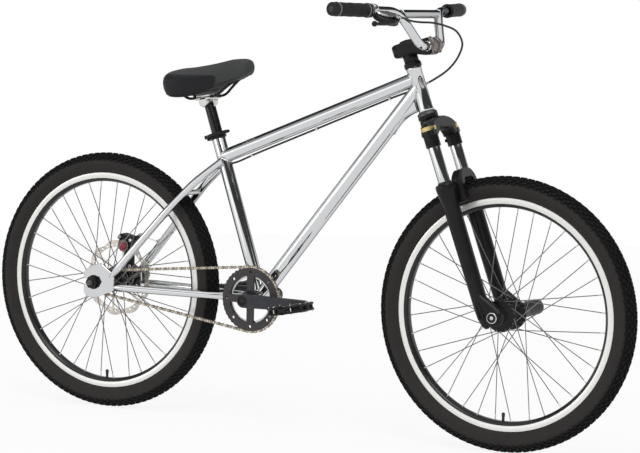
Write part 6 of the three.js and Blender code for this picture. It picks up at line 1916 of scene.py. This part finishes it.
def collar(layout, paint):
    """The slotted collar, its bolt, and the lever that wraps forward."""
    collar = Skin(layout.seat)
    gap = 0.12
    low, high, bore, outer = 425.0, 436.3, 17.7, 21.8
    outline = arc((0, 0), outer, -pi + gap, TURN - 2 * gap, 60)
    outline += arc((0, 0), bore, pi - gap, 2 * gap - TURN, 60)
    collar.plate(outline, low, high, 0.8, plane="XY")
    collar.hoop(
        [(17.6, high - 0.6), (18.8, high - 0.4), (18.8, high + 1), (15, high + 1.4), (14.7, high - 0.2)], 64, UP,
    )
    for side in (-1, 1):
        ys = sorted((side * 1.4, side * 11))
        collar.plate(rounded([(-28.8, low), (-17.4, low), (-17.4, high), (-28.8, high)], 3, 4), *ys, 0.8)
    collar.paint = 1
    collar.rod(at(-25.3, -11, 430.6), at(-25.3, 14, 430.6), 2.6, sides=20)
    collar.nut(at(-25.3, 11, 430.6), (0, 1, 0), 5.2, 5)
    collar.make("seat_clamp_ring", "frame", [paint.black, paint.steel], ["seat_collar"], "black_alloy")
    lever = Skin(layout.seat)
    cam = -(22 / 2 + 0.3 + 5)
    radius = outer + 5
    bend_radius = radius + 2.5
    start = pi + asin(-cam / bend_radius)
    sweep = 54 / radius
    line = [at(*polar(bend_radius, start + sweep * i / 14), 434.65) for i in range(15)]
    way = (line[14] - line[13]).normalized()
    line += [line[14] + way * reach for reach in (5, 10, 15, 19)]
    spans = [(2.2, 4.5 * (0.8 + 0.2 * i / len(line))) for i in range(len(line))]
    spans[-1] = (2.2, spans[-1][1] * 0.6)
    lever.rings(blade_rings(line, spans, 0.6, 20))
    lever.lathe(
        [(1, 430.2), (4.4, 430.2), (5, 430.9), (5, 438.4), (4.4, 439.1), (1, 439.1)], 28,
        placed(at(-25.3, cam, 0)) @ UP,
    )
    lever.make("quick_lever", "seat_clamp_lever", paint.black, ["seat_clamp_lever"], "black_alloy")


class BIKE_OT_seat(bpy.types.Operator):
    """Builds the seatpost, its collar and lever, the clamp and the rails"""

    bl_idname = "bike.seat"
    bl_label = "Seatpost and clamp"

    def execute(self, context):
        layout, _, paint = bench(context)
        post = Skin(layout.seat)
        post.hoop([(13.2, 262.4), (14.3, 263), (14.3, 517), (12.6, 521), (12.6, 262.4)], 64, UP)
        post.make("seatpost_tube", "seatpost", paint.post, ["seatpost"], "black_alloy")
        clamp(layout, paint)
        collar(layout, paint)
        return {"FINISHED"}


def saddle_section(sizes, share, rim=0.0):
    """Half width, top and foot of the saddle at a share of its length."""
    along = (0, 0.016, 0.056, 0.127, 0.214, 0.31, 0.405, 0.516, 0.627, 0.738, 0.849, 0.929, 0.972, 1)
    widths = (0.66, 0.84, 0.94, 0.99, 1, 0.94, 0.81, 0.6, 0.44, 0.36, 0.32, 0.3, 0.24, 0.12)
    tops = (0.6, 0.655, 0.69, 0.715, 0.735, 0.756, 0.79, 0.835, 0.888, 0.947, 1, 1.015, 0.975, 0.89)
    feet = (0.18, 0.13, 0.1, 0.09, 0.095, 0.12, 0.17, 0.26, 0.37, 0.46, 0.54, 0.61, 0.66, 0.73)
    i = max(k for k in range(len(along) - 1) if along[k] <= share)
    t = (share - along[i]) / (along[i + 1] - along[i])

    def between(values):
        padded = [values[0], *values, values[-1]]
        p0, p1, p2, p3 = padded[i : i + 4]
        slope_a, slope_b = (p2 - p0) / 2, (p3 - p1) / 2
        if i == 0:
            slope_a = p2 - p1
        return (
            p1 * (2 * t**3 - 3 * t**2 + 1) + slope_a * (t**3 - 2 * t**2 + t)
            + p2 * (3 * t**2 - 2 * t**3) + slope_b * (t**3 - t**2)
        )

    return (
        between(widths) * sizes.width / 2 - rim,
        between(tops) * sizes.height - 9.6 - rim,
        between(feet) * sizes.height - 9.6 + rim,
    )


def cushion(layout, sizes):
    """The crowned pad with drawn-in sides and a hollow underneath."""
    skin = Skin(layout.saddle)
    count = 48
    rings = []
    for k in range(37):
        share = 0.5 - 0.5 * cos(pi * k / 36)
        half, top, foot = saddle_section(sizes, min(share, 0.9999), 1.6)
        x = share * (sizes.length - 3) + 1.5 - 105
        middle = (top + foot) / 2
        width_share = half * 2 / sizes.width
        ring = []
        for angle in turns(count):
            across, rise = squarish(angle, 0.72)
            tuck = 1 + rise * 0.12 if rise < 0 else 1
            under = max(-1, rise * 1.24) if rise < 0 else rise
            inside = max(0, 1 - (across / 0.8) ** 2) if rise < 0 else 0
            hollow = 24 * inside * width_share * min(1, -rise * 1.3) if rise < 0 else 0
            ring.append(at(x, half * across * tuck, middle + under * (top - foot) / 2 + hollow))
        rings.append(ring)
    skin.rings(rings)
    return skin.make("saddle_cushion", None, [], origin=layout.saddle)


def swell(context, cushion, sizes):
    """Lets air pressure round the cover, within a cap, and keeps the result."""
    remesh = cushion.modifiers.new("remesh", "REMESH")
    remesh.mode = "VOXEL"
    remesh.voxel_size = sizes.voxel * MM
    bake(context, cushion)
    before = [vertex.co.copy() for vertex in cushion.data.vertices]
    cloth = cushion.modifiers.new("cover", "CLOTH")
    cloth.settings.use_pressure = True
    cloth.settings.uniform_pressure_force = sizes.pressure
    cloth.settings.effector_weights.gravity = 0
    cloth.settings.tension_stiffness = 40
    cloth.settings.compression_stiffness = 40
    cloth.settings.bending_stiffness = 6
    cloth.point_cache.frame_start = 1
    cloth.point_cache.frame_end = 20
    for frame in range(1, 21):
        context.scene.frame_set(frame)
    bake(context, cushion)
    context.scene.frame_set(1)
    cap = sizes.swell * MM
    for vertex, start in zip(cushion.data.vertices, before):
        move = vertex.co - start
        if start.z < 0.012:
            move *= 0.3
        if move.length > cap:
            move = move.normalized() * cap
        vertex.co = start + move


def bake(context, piece):
    """Replaces the mesh by what its modifiers make of it."""
    graph = context.evaluated_depsgraph_get()
    mesh = bpy.data.meshes.new_from_object(piece.evaluated_get(graph))
    piece.modifiers.clear()
    piece.data = mesh


def base(layout, sizes, paint):
    """A trimmed edge line under the cushion, and the socket that holds the rails."""
    skin = Skin(layout.saddle)
    for side in (-1, 1):
        line = []
        for k in range(2, 35):
            share = 0.5 - 0.5 * cos(pi * k / 36)
            half, _, foot = saddle_section(sizes, share)
            line.append(at(share * (sizes.length - 22) - 94, side * (half * 0.8 - 2), foot + 5))
        skin.tube(line, 1.5, 10)
    skin.make("saddle_edge", "seatpost", paint.base)
    plates = Skin(layout.rails)
    plates.plate(rounded([(-88, -30), (-60, -30), (-60, 30), (-88, 30)], 6, 4), 38, 46, 2, plane="XY")
    plates.make("rail_socket", "seatpost", paint.base)


class BIKE_OT_saddle(bpy.types.Operator):
    """Builds the padded saddle and lets its cover swell"""

    bl_idname = "bike.saddle"
    bl_label = "Saddle"

    def execute(self, context):
        layout, sizes, paint = bench(context, "saddle")
        pad = cushion(layout, sizes)
        swell(context, pad, sizes)
        subdivision = pad.modifiers.new("rounding", "SUBSURF")
        subdivision.levels = subdivision.render_levels = 1
        bake(context, pad)
        pad.data.materials.clear()
        pad.data.materials.append(paint.cover)
        pad.data.shade_smooth()
        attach(pad, "seatpost")
        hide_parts("saddle")
        base(layout, sizes, paint)
        return {"FINISHED"}


# Panel and main


OPERATORS = (
    BIKE_OT_stage,
    BIKE_OT_cables,
    BIKE_OT_frame,
    BIKE_OT_fork,
    BIKE_OT_axles,
    BIKE_OT_wheels,
    BIKE_OT_cockpit,
    BIKE_OT_drive,
    BIKE_OT_brake,
    BIKE_OT_seat,
    BIKE_OT_saddle,
)


class BIKE_PT_panel(bpy.types.Panel):
    """Lists the parts of the bike"""

    bl_idname = "BIKE_PT_panel"
    bl_label = "Dirt Jump Bike"
    bl_space_type = "VIEW_3D"
    bl_region_type = "UI"
    bl_category = "Bike"

    def draw(self, context):
        for operator in OPERATORS:
            self.layout.operator(operator.bl_idname)


SETTINGS = (
    LayoutSizes, TubeSizes, WheelSizes, ForkSizes, CockpitSizes, DriveSizes, SaddleSizes, Finishes, BikeSettings,
)


def register():
    for kind in (*SETTINGS, *OPERATORS, BIKE_PT_panel):
        bpy.utils.register_class(kind)
    bpy.types.Scene.dirt_jump_bike = PointerProperty(type=BikeSettings)


def unregister():
    del bpy.types.Scene.dirt_jump_bike
    for kind in reversed((*SETTINGS, *OPERATORS, BIKE_PT_panel)):
        bpy.utils.unregister_class(kind)


def main():
    register()
    for operator in OPERATORS:
        group, name = operator.bl_idname.split(".")
        getattr(getattr(bpy.ops, group), name)()


if __name__ == "__main__":
    main()
